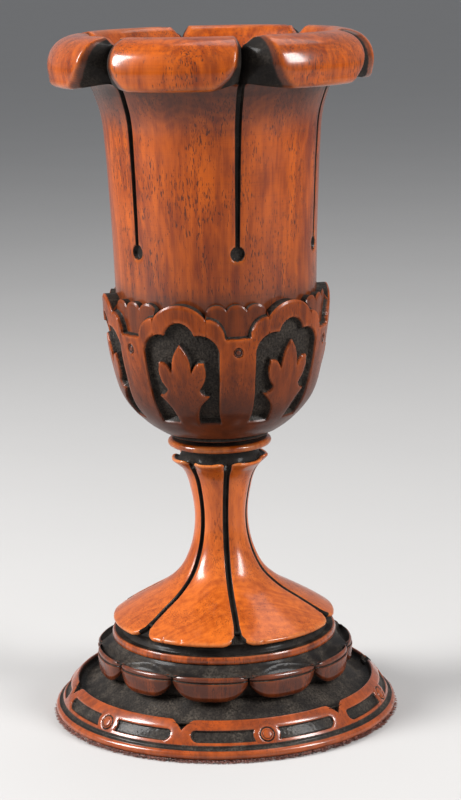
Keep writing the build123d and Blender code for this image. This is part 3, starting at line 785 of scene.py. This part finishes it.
class CHALICE_OT_calyx(bpy.types.Operator):
    """Carved shell round the foot of the bowl: six arches with leaves, fans between them"""

    bl_idname = "chalice.calyx"
    bl_label = "Calyx"

    def execute(self, context):
        size = lengths()
        line = calyx_outline(size)
        bottom, top = low("calyx"), high("calyx")
        foot = line[0][0]
        fine = curve(line, 0.43)
        contact = inset(line, size["calyx_wall"])
        seat = [(SEAT_RADIUS, bottom + SEAT_RISE), *contact[1:-1], (size["wall_radius"], top)]
        outline = Outline(
            ("bore", [(BORE, bottom), (foot - 0.3, bottom)]),
            ("foot", bow(*near(foot, bottom, (-0.3, 0), (0, 0.5), (-0.2, 1.2)))),
            ("face", fine[fine[:, 1] > bottom + 1.6]),
            ("top", curve([fine[-1], (size["wall_radius"], top)], 1.2)),
            ("seat", curve(seat[::-1], 6.0)),
            ("bore", [(BORE, bottom + SEAT_RISE)]),
        )
        piece, angle, row = turn("calyx_carved", outline, 708, closed=True)
        away, from_post = off_centre(angle, SECTORS, SECTOR / 2), off_centre(angle, SECTORS)
        r, z = outline.points[row].T
        part = outline.names[row]
        face, rim = part == "face", part == "top"
        full = size["wall_radius"] + size["calyx_wall"]

        # The top edge follows the arches and the scalloped fans between them.
        span, post_span = full * np.sin(away), full * np.sin(from_post)
        fan_lobe, fan_drop, fan_gap = 6.6, 2.6, 0.3
        from_lobe = np.abs((post_span + fan_lobe / 2) % fan_lobe - fan_lobe / 2)
        round_top = np.sqrt(np.clip(1 - (from_lobe / (0.52 * fan_lobe)) ** 2, 0, 1))
        fan = top - fan_gap - fan_drop * (1 - round_top)
        fan = np.where(np.abs(post_span) < 1.5 * fan_lobe, fan, bottom)
        edge = np.maximum(arch_height(span, top), fan)
        start = top - 14.0
        lowered = np.where(z > start, start + (z - start) * (edge - start) / (top - start), z)
        z = np.where(face | rim, lowered, z)
        r = np.where(face, np.interp(z, fine[:, 1], fine[:, 0]), r)

        # Windows with leaves, the step behind the arches, and a ring round each pin.
        across, post_across = r * np.sin(away), r * np.sin(from_post)
        above_arch = outside(across, z, arch_outline(top))
        window_foot = bottom + 8.0
        window = outside(across, z, window_outline(window_foot, top - 5.3))
        leaf = outside(across, z, leaf_outline(window_foot, top - 5.3 - window_foot))
        sunk = np.maximum(window, -leaf)
        pin = np.hypot(post_across, z - (top - PIN_DROP))
        pin_radius = (high("calyx_pins") - low("calyx_pins")) / 2
        rough = wander(across + 40 * np.cos(angle), z, 40 * np.sin(angle), 1.15)
        crown = 0.35 * ramp(np.abs(post_across), 1.0, 6.0) * ramp(window, 0.0, 2.0)
        vein = cut(np.abs(across) - 0.18, 0.18, slope=0.3, wear=0)
        inward = cut(sunk, size["window_depth"], slope=0.5) + (sunk < -0.4) * 0.22 * rough + 0.25 * crown
        inward += ((leaf < -0.9) & (z > bottom + 22)) * 0.4 * vein
        inward += size["fan_depth"] * ramp(above_arch, -0.05, 0.5) + 0.35 * ramp(z - edge, -0.9, 0.0)
        inward += cut(pin - pin_radius - 0.1, 1.0, slope=0.25, wear=0)
        above_edge = outside(span, edge - 0.4, arch_outline(top))
        behind_edge = (1 - outline.share[row]) * size["fan_depth"] * ramp(above_edge, -0.05, 0.5)
        inward = np.where(rim, behind_edge, face * inward)
        tilt = np.interp(z, fine[:, 1], np.gradient(fine[:, 0], fine[:, 1]))
        lean = np.hypot(1, tilt)
        r = r - inward / lean
        z = z + (face & (z < start)) * inward * tilt / lean

        seam = ramp(above_arch, 0.0, 0.3) * ramp(1.1 - above_arch, 0, 0.5)
        black = np.maximum(ramp(-sunk, -0.05, 0.35), np.maximum(ramp(pin_radius + 0.2 - pin, 0, 0.2), 0.8 * seam))
        black = face * black + 0.8 * rim + (part == "foot")
        # Painted shade on the fans sunk behind the arches, and over the lower calyx, darker towards its foot.
        shade = face * np.maximum(0.55 * ramp(above_arch, 0.1, 0.6), 0.9 * ramp(bottom + 34 - z, 0, 28))
        put_back(piece, angle, r, z, {"ground": black, "shade": shade})
        finish(piece, "calyx", old_wood("calyx"))
        return DONE


class CHALICE_OT_pins(bpy.types.Operator):
    """Six round pins through the posts of the calyx"""

    bl_idname = "chalice.pins"
    bl_label = "Calyx pins"

    def execute(self, context):
        box_low, box_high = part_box("calyx_pins")
        height, radius = (box_high.z + box_low.z) / 2, (box_high.z - box_low.z) / 2
        buried = PIN_LENGTH * MM
        piece = peg("calyx_pins_turned", radius, buried - 0.1 * radius, 0.52 * radius, 0.30 * radius)
        foot = Matrix.Translation((box_high.x - buried, 0, height)) @ Matrix.Rotation(pi / 2, 4, "Y")
        set_round(piece, foot)
        finish(piece, "calyx_pins", old_wood("pin"))
        return DONE


def peg(name, radius, depth, dot, groove):
    """Round peg along +Z with a dark ring cut in its head round a dot, its foot at the origin."""
    deselect()
    bpy.ops.mesh.primitive_cylinder_add(vertices=48, radius=radius, depth=depth, location=(0, 0, depth / 2))
    piece = bpy.context.object
    piece.name = name
    bpy.ops.object.transform_apply(location=True, rotation=True, scale=True)
    bpy.ops.object.mode_set(mode="EDIT")
    bpy.ops.mesh.select_all(action="DESELECT")
    bpy.ops.object.mode_set(mode="OBJECT")
    for face in piece.data.polygons:
        face.select = face.normal.z > 0.9
    bpy.ops.object.mode_set(mode="EDIT")
    bpy.ops.mesh.select_mode(type="FACE")
    edge = radius - dot - groove
    for thickness, rise in (
        (0.10 * radius, 0.05 * radius),
        (edge - 0.10 * radius, 0.02 * radius),
        (0.25 * groove, -0.30 * groove),
        (0.50 * groove, 0),
        (0.25 * groove, 0.30 * groove),
        (0.25 * dot, 0.06 * dot),
    ):
        bpy.ops.mesh.inset(thickness=thickness, depth=rise)
    bpy.ops.mesh.select_all(action="SELECT")
    bpy.ops.mesh.normals_make_consistent(inside=False)
    bpy.ops.object.mode_set(mode="OBJECT")
    x, y, z = read(piece.data.vertices, "co").T
    out = np.hypot(x, y)
    ring = (dot + 0.1 * groove < out) & (out < dot + 0.9 * groove) & (z > depth / 2)
    keep_mask(piece, "ground", ring)
    return piece


def set_round(piece, place, turned=0.0):
    """Sets a piece in its place six times round the axis, as one mesh."""
    copies = [piece]
    for _ in range(SECTORS - 1):
        copy = piece.copy()
        copy.data = piece.data.copy()
        link(copy)
        copies.append(copy)
    for k, copy in enumerate(copies):
        copy.data.transform(Matrix.Rotation(k * SECTOR + turned, 4, "Z") @ place)
    join(piece, copies)
    weather(piece)


def join(piece, others):
    """Joins other pieces into a piece."""
    deselect()
    for made in (piece, *others):
        made.select_set(True)
    bpy.context.view_layer.objects.active = piece
    bpy.ops.object.join()


def link(made):
    """Puts a new object in the scene."""
    bpy.context.scene.collection.objects.link(made)


# ---------------------------------------------------------------- collar and stem


class CHALICE_OT_collar(bpy.types.Operator):
    """Ring between stem and calyx: a bead with a blackened cove over it"""

    bl_idname = "chalice.collar"
    bl_label = "Collar"

    def execute(self, context):
        bottom, top, edge = low("collar"), high("collar"), reach("collar")
        bead = 2.2
        outline = Outline(
            ("bore", [(BORE, bottom), (edge - 1.6, bottom)]),
            ("bead", bow(*near(edge, bottom, (-1.1, 0.05), (0, bead / 2), (-1.1, bead)), 0.2)),
            ("cove", curve([*near(edge, bottom + bead, (-1.7, 0.1), (-2.9, 0.5)), (CAPITAL_COVE, top)], 0.25)),
            ("bore", [(BORE, top)]),
        )
        piece, angle, row = turn("collar_turned", outline, 300, closed=True)
        r, z = outline.points[row].T
        part = outline.names[row]
        dents = wander(r * np.cos(angle), r * np.sin(angle), z, 0.35, seed=4.0)
        r = r - (part == "bead") * 0.10 * np.abs(dents)
        put_back(piece, angle, r, z, {"ground": np.isin(part, ("cove", "bore"))})
        finish(piece, "collar", old_wood("collar"))
        return DONE


class CHALICE_OT_stem(bpy.types.Operator):
    """Trumpet stem with six flutes and a lobed capital"""

    bl_idname = "chalice.stem"
    bl_label = "Stem"

    def execute(self, context):
        size = lengths()
        seat, top, edge = high("plinth"), high("stem"), reach("stem")
        lip_foot, lip_top = seat + 3.5, seat + 4.3
        capital, capital_radius, socket_depth = top - 2.7, 15.3, 14.8
        waist = (8.3, lip_top + 0.6 * (capital - lip_top))
        flare = shares((edge - 0.1, lip_top), waist,
                       ((0, 0), (0.095, 0.055), (0.36, 0.19), (0.62, 0.32), (0.81, 0.47), (0.93, 0.67), (1, 1)))
        bell = shares(waist, (capital_radius - 0.2, capital - 0.7), ((0, 0), (0.13, 0.42), (0.42, 0.75), (1, 1)))
        trumpet = curve(flare + bell[1:], 0.52)
        outline = Outline(
            ("tenon", [(0, low("stem")), (TENON, low("stem")), (TENON, seat)]),
            ("neck", curve([(33.0, seat), (32.1, seat + 1.4), (32.6, seat + 2.8), (33.6, lip_foot)], 0.6)),
            ("lip", bow((33.8, lip_foot), (edge, lip_foot + 0.35), (edge - 0.1, lip_top), 0.3)),
            ("trumpet", trumpet),
            ("lobe", bow(*near(capital_radius, capital, (-0.2, -0.7), (0, -0.3), (-0.6, 0)), 0.25)),
            ("dish", curve([(capital_radius - 1.2, capital - 0.3), (CAPITAL_COVE, capital - 0.9), (12.4, capital)],
                           0.5)),
            ("cove", [(12.2, capital + 0.8), (12.4, top), (BORE, top), (BORE, top - socket_depth),
                      (0, top - socket_depth)]),
        )
        piece, angle, row = turn("stem_carved", outline, 612)
        angle = crowd(angle, SECTORS, 0.6)
        r, z = outline.points[row].T
        part = outline.names[row]
        out_r, out_z = outline.outward[row].T
        number = np.round(angle / SECTOR).astype(int) % SECTORS
        from_flute = off_centre(angle, SECTORS)

        # Three flutes wander a little: by so many degrees at foot, waist and capital.
        drift = np.zeros(len(angle))
        for flute, turns in {0: (3.0, 4.0, 4.0), 4: (2.4, 3.0, 6.5), 5: (-3.0, -1.5, 0.0)}.items():
            along_it = np.interp(z, (lip_top, waist[1], capital), turns)
            drift = np.where(number == flute, np.radians(along_it), drift)
        hold = ramp(SECTOR / 2 - np.abs(from_flute), 0, 0.75 * SECTOR / 2)
        t = 1 - np.clip(np.abs(from_flute) / (SECTOR / 2), 0, 1)

        # Each petal's corners are rounded off where the flutes run out over the two edges.
        across = r * np.sin(from_flute)
        up = np.concatenate([[0], np.cumsum(np.hypot(*np.diff(trumpet, axis=0).T))])
        height = up[-1]
        on_curve = part == "trumpet"
        along = np.where(on_curve, np.interp(z, trumpet[:, 1], up), np.isin(part, ("lobe", "dish")) * height)
        low_corner, high_corner, mouth_length = 4.6, 3.0, 7.0
        high_mouth, low_mouth = ramp(along, height - mouth_length, height), ramp(mouth_length - along, 0, mouth_length)
        half = size["flute_width"] / 2 * (1 + 0.5 * high_mouth + 0.35 * low_mouth)

        def recess(corner):
            u = np.clip(np.abs(across) - 0.8 * half, 0, corner)
            return corner - np.sqrt(np.clip(corner**2 - (corner - u) ** 2, 0, None))

        slid = along + recess(low_corner) * np.clip(1 - along / 9.0, 0, 1)
        slid = slid - recess(high_corner) * np.clip(1 - (height - along) / 6.0, 0, 1)
        step_r, step_z = (np.interp(slid, up, line) - np.interp(along, up, line) for line in trumpet.T)
        follows = np.isin(part, ("lip", "trumpet", "lobe"))
        dish_share = (part == "dish") * (1 - outline.share[row])
        r = r + step_r * (follows + dish_share)
        z = z + step_z * (follows + dish_share)
        groove = np.abs(across) - half
        inward = follows * cut(groove, size["flute_depth"], slope=0.6, wear=0.12)
        inward = inward - on_curve * 0.2 * ramp(groove, 0, 3.0) * ramp(z, waist[1] - 25, waist[1])
        lip = part == "lip"
        r = r - np.where(lip, inward * 0.3, inward * out_r)
        z = z - np.where(lip, 0, inward * out_z)
        near_top = np.clip(1 - (height - along) / 4.5, 0, 1) * np.isin(part, ("trumpet", "lobe"))
        near_top = np.maximum(near_top, dish_share)
        r = r - 1.5 * t**3 * near_top
        z = z + (1.5 * t**2.5 - 1.1) * near_top
        chips = wander(angle * 9, r * 0.2, z * 0.2, 1.6, seed=7.0)
        r = r - 0.5 * ramp(chips, 0.42, 0.62) * (lip | on_curve & (along < 0.6))
        black = follows * ramp(-groove, -0.12, 0.22)
        black = np.where(lip, ramp(1.3 - groove, 0, 0.5), black)
        black = np.where(np.isin(part, ("neck", "cove", "dish", "tenon")), 1.0, black)
        # Painted shade on the trumpet just under the capital.
        shade = on_curve * 0.35 * ramp(z, capital - 12, capital - 2)
        put_back(piece, angle + drift * hold, r, z, {"ground": black, "shade": shade})
        finish(piece, "stem", old_wood("stem"))
        return DONE


# ---------------------------------------------------------------- plinth, base, buttons, pad


class CHALICE_OT_plinth(bpy.types.Operator):
    """Ring of eleven round-ended tongues, a scoop over each, and a fillet"""

    bl_idname = "chalice.plinth"
    bl_label = "Plinth"

    def execute(self, context):
        bottom, top, edge = low("plinth"), high("plinth"), reach("plinth")
        tongue_top = bottom + 6.1
        ledge_top = tongue_top + 1.8
        fillet, fillet_foot = edge - 5.5, top - 2.3
        edges = np.radians((7.0, 39.4, 71.9, 104.3, 136.7, 169.1, 201.6, 234.0, 264.9, 300.0, 334.6, 367.0))
        tongues = len(edges) - 1
        outline = Outline(
            ("bore", [(TENON_HOLE, bottom), (30.0, bottom), (36.0, bottom)]),
            ("under", curve([(36.6, bottom), (edge - 1.4, bottom)], 0.7)),
            ("tongue", bow(*near(edge, bottom, (-1.2, 0.1), (-0.7, 0.9), (-0.5, 1.8)), 0.4)),
            ("tongue", curve([(edge - 0.5, bottom + 2.2), (edge - 0.1, tongue_top - 0.3)], 0.32)),
            ("line", near(edge, tongue_top, (-0.6, -0.05), (-0.75, 0.2))),
            ("ledge", bow(*near(edge, tongue_top, (-0.45, 0.35), (-0.35, 1.1), (-0.9, 1.8)), 0.22)),
            ("scoop", curve([*near(edge, ledge_top, (-1.15, 0), (-3.2, 0.35), (-5.2, 1.5)),
                             (fillet - 0.5, fillet_foot - 0.1)], 0.28)),
            ("line", [(fillet - 0.45, fillet_foot)]),
            ("fillet", bow(*near(fillet, fillet_foot, (-0.15, 0.15), (0, 1.1)), (fillet - 0.35, top), 0.3)),
            ("top", [(fillet - 1.4, top), (32.0, top), (TENON_HOLE, top)]),
        )
        piece, angle, row = turn("plinth_carved", outline, 76 * tongues, closed=True)
        turned = (crowd(angle, tongues, 0.55) % (2 * pi)) * tongues / (2 * pi)
        angle = np.interp(turned, np.arange(tongues + 1), edges)
        t = np.abs(2 * (turned % 1) - 1)
        width = np.diff(edges)[np.minimum(turned.astype(int), tongues - 1)]
        from_edge = (1 - t) * width / 2
        r, z = outline.points[row].T
        part, share = outline.names[row], outline.share[row]
        scoop, tongue = part == "scoop", part == "tongue"

        # Each tongue's lower end is rounded, and set off from the next by a cut.
        raised = bottom + 5.3 * t**3.6
        squeezed = tongue_top - (tongue_top - z) * (tongue_top - raised) / (tongue_top - bottom)
        z = np.where(tongue, squeezed, z) + (part == "under") * (raised - bottom) * ramp(share, 0.0, 1.0)
        lobed = np.isin(part, ("under", "tongue", "line", "ledge")) & (r > 36)
        r = r - lobed * 1.6 * t**4 * ramp(r, 36, 40)
        split = r * np.sin(from_edge) - 0.32
        carved = np.isin(part, ("tongue", "ledge", "line")) & (r > 37)
        r = r - carved * cut(split, 1.5, slope=0.5, wear=0.12)

        # The scoop over it: a hollow under a round arc, with low points between.
        climb = np.clip((r - fillet + 0.5) / (edge - 0.65 - fillet), 0, 1)
        arc = 0.22 + 0.78 * (t / 0.94) ** 2.2
        into = np.clip((climb - arc) / np.maximum(1 - arc, 0.05), 0, 1)
        hollow = 2.0 * (1 - (t / 0.97) ** 2).clip(0, 1) ** 0.5 * np.sin(pi * into**0.7).clip(0, 1) ** 0.9
        z = z - scoop * (hollow + 0.35 * ramp(climb, 0.6, 1.0) * ramp(t, 0.8, 1.0))
        black = np.isin(part, ("scoop", "line", "under", "bore", "top")).astype(float)
        black = np.maximum(black, carved * ramp(-split, -0.2, 0.2))
        # Painted shade on the tongues and ledges, darker towards the cuts between tongues.
        shade = np.isin(part, ("tongue", "ledge")) * (0.55 + 0.25 * ramp(t, 0.4, 1.0))
        put_back(piece, angle, r, z, {"ground": black, "shade": shade})
        finish(piece, "plinth", old_wood("plinth"))
        return DONE


class CHALICE_OT_base(bpy.types.Operator):
    """Broad foot: bead, cove, raised band with sunk panels, hollow dish"""

    bl_idname = "chalice.base"
    bl_label = "Base"

    def execute(self, context):
        size = lengths()
        bottom, top, edge = low("base"), high("base"), reach("base")
        band_foot, band_crest = (edge - BAND_FOOT[0], bottom + BAND_FOOT[1]), (edge - 7.0, bottom + 10.2)
        slant = hypot(band_foot[0] - band_crest[0], band_crest[1] - band_foot[1])
        up = ((band_crest[0] - band_foot[0]) / slant, (band_crest[1] - band_foot[1]) / slant)
        middle = (band_foot[0] + up[0] * slant / 2 + 0.5 * up[1], band_foot[1] + up[1] * slant / 2 - 0.5 * up[0])
        dish = (band_crest[0] - 1.0, band_crest[1] - 2.1)
        tenon_foot = top - 9.8
        outline = Outline(
            ("under", [(0, bottom), (30, bottom), (edge - 1.6, bottom)]),
            ("bead", bow(*near(edge, bottom, (-1.0, 0.05), (0, 1.3), (-0.9, 2.6)), 0.35)),
            ("cove", bow(*near(edge, bottom, (-1.1, 2.75), (-1.95, 2.9), (-2.25, 3.5)), 0.3)),
            ("band", bow(band_foot, middle, band_crest, 0.26)),
            ("crest", bow(*near(*band_crest, (-0.15, 0.08), (-0.45, 0), (-0.6, -0.35)), 0.15)),
            ("dish", curve([*near(*band_crest, (-0.75, -0.9)), *near(*dish, (0, 0), (-3.5, 0.1)),
                            (40.5, dish[1] + 2.0), (36.5, top)], 0.9)),
            ("seat", [(36.0, top), (TENON_HOLE, top), (TENON_HOLE, tenon_foot), (0, tenon_foot)]),
        )
        piece, angle, row = turn("base_carved", outline, 1020)
        r, z = outline.points[row].T
        part = outline.names[row]
        out_r, out_z = outline.outward[row].T
        climb = (r - band_foot[0]) * up[0] + (z - band_foot[1]) * up[1]
        band = np.isin(part, ("band", "crest"))

        # Sunk panels with a button between each two, and a notch in the crest over each panel.
        slot_half, slot_end, boss, notch_half = 2.0, 50.0 * radians(24.8), 4.1, 4.2
        across = r * off_centre(angle, SECTORS)
        bar = np.hypot(np.maximum(np.abs(across) - slot_end, 0), climb - SLOT_RISE) - slot_half
        button = np.hypot(across, climb - SLOT_RISE)
        slot = np.maximum(bar, boss - button)
        notch_across = np.abs(r * off_centre(angle, SECTORS, SECTOR / 2))
        notch_edge = slant + 0.5 - 3.8 * np.clip(1 - notch_across / notch_half, 0, 1) ** 1.6
        notch = np.where(notch_across < notch_half, notch_edge - climb, 1.0)
        ring = np.abs(button - 2.15) - 0.22
        punched = wander(r * np.cos(angle), r * np.sin(angle), z, 1.7, seed=3.0)
        inward = cut(slot, size["slot_depth"], slope=0.35, wear=0.10) + (slot < -0.35) * 0.05 * punched
        inward = np.maximum(inward, cut(notch, 1.5, slope=0.5, wear=0.10))
        inward = band * (inward + cut(ring, 0.45, slope=0.2, wear=0.0))
        lowered = (part == "dish") & (r > dish[0] + 0.1)
        z = z - lowered * 0.9 * ramp(2.6 - notch_across, 0, 0.8)
        tremor = wander(np.cos(angle) * 50, np.sin(angle) * 50, z, 0.13, seed=2.0)
        inward += (part == "bead") * 0.12 * np.abs(tremor)
        r = r - inward * out_r
        z = z - inward * out_z
        black = np.maximum(ramp(-slot, -0.05, 0.25), ramp(-notch, -0.25, 0.15))
        black = band * np.maximum(black, ramp(-ring, -0.1, 0.12))
        black = np.maximum(black, (part == "band") * 0.6 * ramp(0.7 - climb, 0, 0.6))
        black = np.where(np.isin(part, ("cove", "dish", "seat", "under")), 1.0, black)
        put_back(piece, angle + BAND_TURN, r, z, {"ground": black})
        finish(piece, "base", old_wood("base"))
        return DONE


class CHALICE_OT_buttons(bpy.types.Operator):
    """Six round buttons pegged into the band of the base"""

    bl_idname = "chalice.buttons"
    bl_label = "Base buttons"

    def execute(self, context):
        slope = np.arctan2(6.5, 4.8)
        radius, depth, proud = 1.9 * MM, 3.9 * MM, 0.42
        up, out = Vector((-cos(slope), 0, sin(slope))), Vector((sin(slope), 0, cos(slope)))
        band_foot = Vector((reach("base") - BAND_FOOT[0], 0, low("base") + BAND_FOOT[1]))
        face = band_foot + SLOT_RISE * up + proud * out
        piece = peg("base_buttons_turned", radius, depth, 0.70 * radius, 0.15 * radius)
        foot = Matrix.Translation(face * MM - out * depth)
        set_round(piece, foot @ Matrix.Rotation(slope, 4, "Y"), BAND_TURN)
        finish(piece, "base_buttons", old_wood("button"))
        return DONE


class CHALICE_OT_pad(bpy.types.Operator):
    """Velvet pad glued under the base, with its pile frayed out round the edge"""

    bl_idname = "chalice.pad"
    bl_label = "Foot pad"

    def execute(self, context):
        radius, thick = reach("foot_pad"), high("foot_pad")
        outline = Outline(
            ("under", curve([(0, 0), (radius - 1.0, 0)], 3.0)),
            ("edge", bow((radius - 0.5, 0.04), (radius, thick / 2), (radius - 0.4, thick), 0.2)),
            ("face", curve([(radius - 1.0, thick), (0, thick)], 6.0)),
        )
        piece, angle, row = turn("foot_pad_velvet", outline, 360)
        r, z = outline.points[row].T
        ragged = wander(np.cos(angle) * radius, np.sin(angle) * radius, z, 0.5, seed=9.0)
        put_back(piece, angle, r + (outline.names[row] == "edge") * 0.7 * ragged, z, {})
        join(piece, [self.fray(radius, thick, context.scene.chalice_sizes)])
        finish(piece, "foot_pad", pile_cloth("velvet"))
        return DONE

    def fray(self, radius, thick, sizes):
        """Short bent tufts that stand out from under the bead, one mesh."""
        rng = np.random.default_rng(11)
        sides, rooted = 3, 0.6
        points, faces = [], []
        for _ in range(sizes.pile_tufts):
            angle = rng.uniform(0, 2 * pi)
            out = rng.uniform(0.5, 1.0) * sizes.pile_length / MM
            height = rng.uniform(0.1, thick)
            droop = rng.uniform(-0.9, 0.5)
            sway = rng.normal(0, 0.7)
            width = rng.uniform(0.10, 0.24)
            start = len(points)
            for share, taper in ((0.0, 1.0), (0.5, 0.85), (1.0, 0.25)):
                r = radius - rooted + out * share
                centre = np.array([r, sway * share**2, max(0.02 + width, height + droop * share**1.5)])
                for corner in range(sides):
                    turned = 2 * pi * corner / sides
                    place = centre + width * taper * np.array([0, cos(turned), sin(turned)])
                    points.append((place[0] * cos(angle) - place[1] * sin(angle),
                                   place[0] * sin(angle) + place[1] * cos(angle), max(place[2], 0.0)))
            for ring in (start, start + sides):
                for corner in range(sides):
                    a, b = ring + corner, ring + (corner + 1) % sides
                    faces.append((a, b, b + sides, a + sides))
            faces += [(start + 2, start + 1, start), (start + 6, start + 7, start + 8)]
        mesh = bpy.data.meshes.new("tufts")
        mesh.from_pydata((np.array(points) * MM).tolist(), [], faces)
        tufts = bpy.data.objects.new("tufts", mesh)
        link(tufts)
        return tufts


# ---------------------------------------------------------------- stage, panel and run


class CHALICE_OT_stage(bpy.types.Operator):
    """Pale floor, a plain world round it, soft boxes to both sides, and the camera"""

    bl_idname = "chalice.stage"
    bl_label = "Stage"

    def execute(self, context):
        deselect()
        bpy.ops.mesh.primitive_plane_add(size=40.0, location=(0, 0, 0))
        floor = context.object
        floor.name = "floor"
        floor.data.materials.append(plain_finish("paper", (0.43, 0.42, 0.41), 0.9))
        scene = context.scene
        scene.view_settings.view_transform = "Standard"
        scene.world = bpy.data.worlds.new("studio")
        scene.world.use_nodes = True
        feed(scene.world.node_tree.nodes["Background"].inputs, {"Color": (0.80, 0.83, 0.88, 1), "Strength": 0.40})

        # Soft boxes: turn from the camera, rise, distance, width, height, watts.
        view, target = radians(19.5), Vector((0, 0, 0.11))
        for name, turned, rise, away, width, tall, watts in (
            ("left_box", -77, 31, 1.00, 0.30, 0.54, 20.0),
            ("right_box", 61, 30, 1.05, 0.26, 0.54, 13.5),
            ("top_box", 150, 66, 1.30, 0.8, 0.8, 3.5),
        ):
            light = bpy.data.lights.new(name, "AREA")
            light.shape = "RECTANGLE"
            light.size, light.size_y, light.energy = width, tall, watts
            made = bpy.data.objects.new(name, light)
            link(made)
            a, b = view + radians(turned), radians(rise)
            made.location = target + away * Vector((sin(a) * cos(b), -cos(a) * cos(b), sin(b)))
            made.rotation_euler = (target - made.location).to_track_quat("-Z", "Y").to_euler()

        camera = bpy.data.cameras.new("camera")
        camera.lens, camera.sensor_width, camera.shift_x = 102.3, 36.0, 0.0148
        camera.clip_start = 0.01
        camera.dof.use_dof = False
        distance, height, pitch, roll = 0.7032, 0.2459, radians(11.67), radians(-1.36)
        seen = bpy.data.objects.new("camera", camera)
        link(seen)
        place = Matrix.Translation((distance * sin(view), -distance * cos(view), height))
        for angle, axis in ((view, "Z"), (pi / 2 - pitch, "X"), (roll, "Z")):
            place = place @ Matrix.Rotation(angle, 4, axis)
        seen.matrix_world = place
        scene.camera = seen
        return DONE


OPERATORS = (
    CHALICE_OT_bowl,
    CHALICE_OT_calyx,
    CHALICE_OT_pins,
    CHALICE_OT_collar,
    CHALICE_OT_stem,
    CHALICE_OT_plinth,
    CHALICE_OT_base,
    CHALICE_OT_buttons,
    CHALICE_OT_pad,
    CHALICE_OT_stage,
)


class CHALICE_PT_panel(bpy.types.Panel):
    """Lists the pieces of the chalice and their sizes"""

    bl_label = "Chalice"
    bl_idname = "CHALICE_PT_panel"
    bl_space_type = "VIEW_3D"
    bl_region_type = "UI"
    bl_category = "Chalice"

    def draw(self, context):
        for made in OPERATORS:
            self.layout.operator(made.bl_idname)
        for group_of in (context.scene.chalice_sizes, context.scene.chalice_colours):
            for name in type(group_of).__annotations__:
                self.layout.prop(group_of, name)


CLASSES = (ChaliceSizes, ChaliceColours, *OPERATORS, CHALICE_PT_panel)


def register():
    for made in CLASSES:
        bpy.utils.register_class(made)
    bpy.types.Scene.chalice_sizes = PointerProperty(type=ChaliceSizes)
    bpy.types.Scene.chalice_colours = PointerProperty(type=ChaliceColours)


def unregister():
    del bpy.types.Scene.chalice_colours
    del bpy.types.Scene.chalice_sizes
    for made in reversed(CLASSES):
        bpy.utils.unregister_class(made)


def main():
    register()
    for made in OPERATORS:
        getattr(bpy.ops.chalice, made.bl_idname.split(".")[1])()


if __name__ == "__main__":
    main()
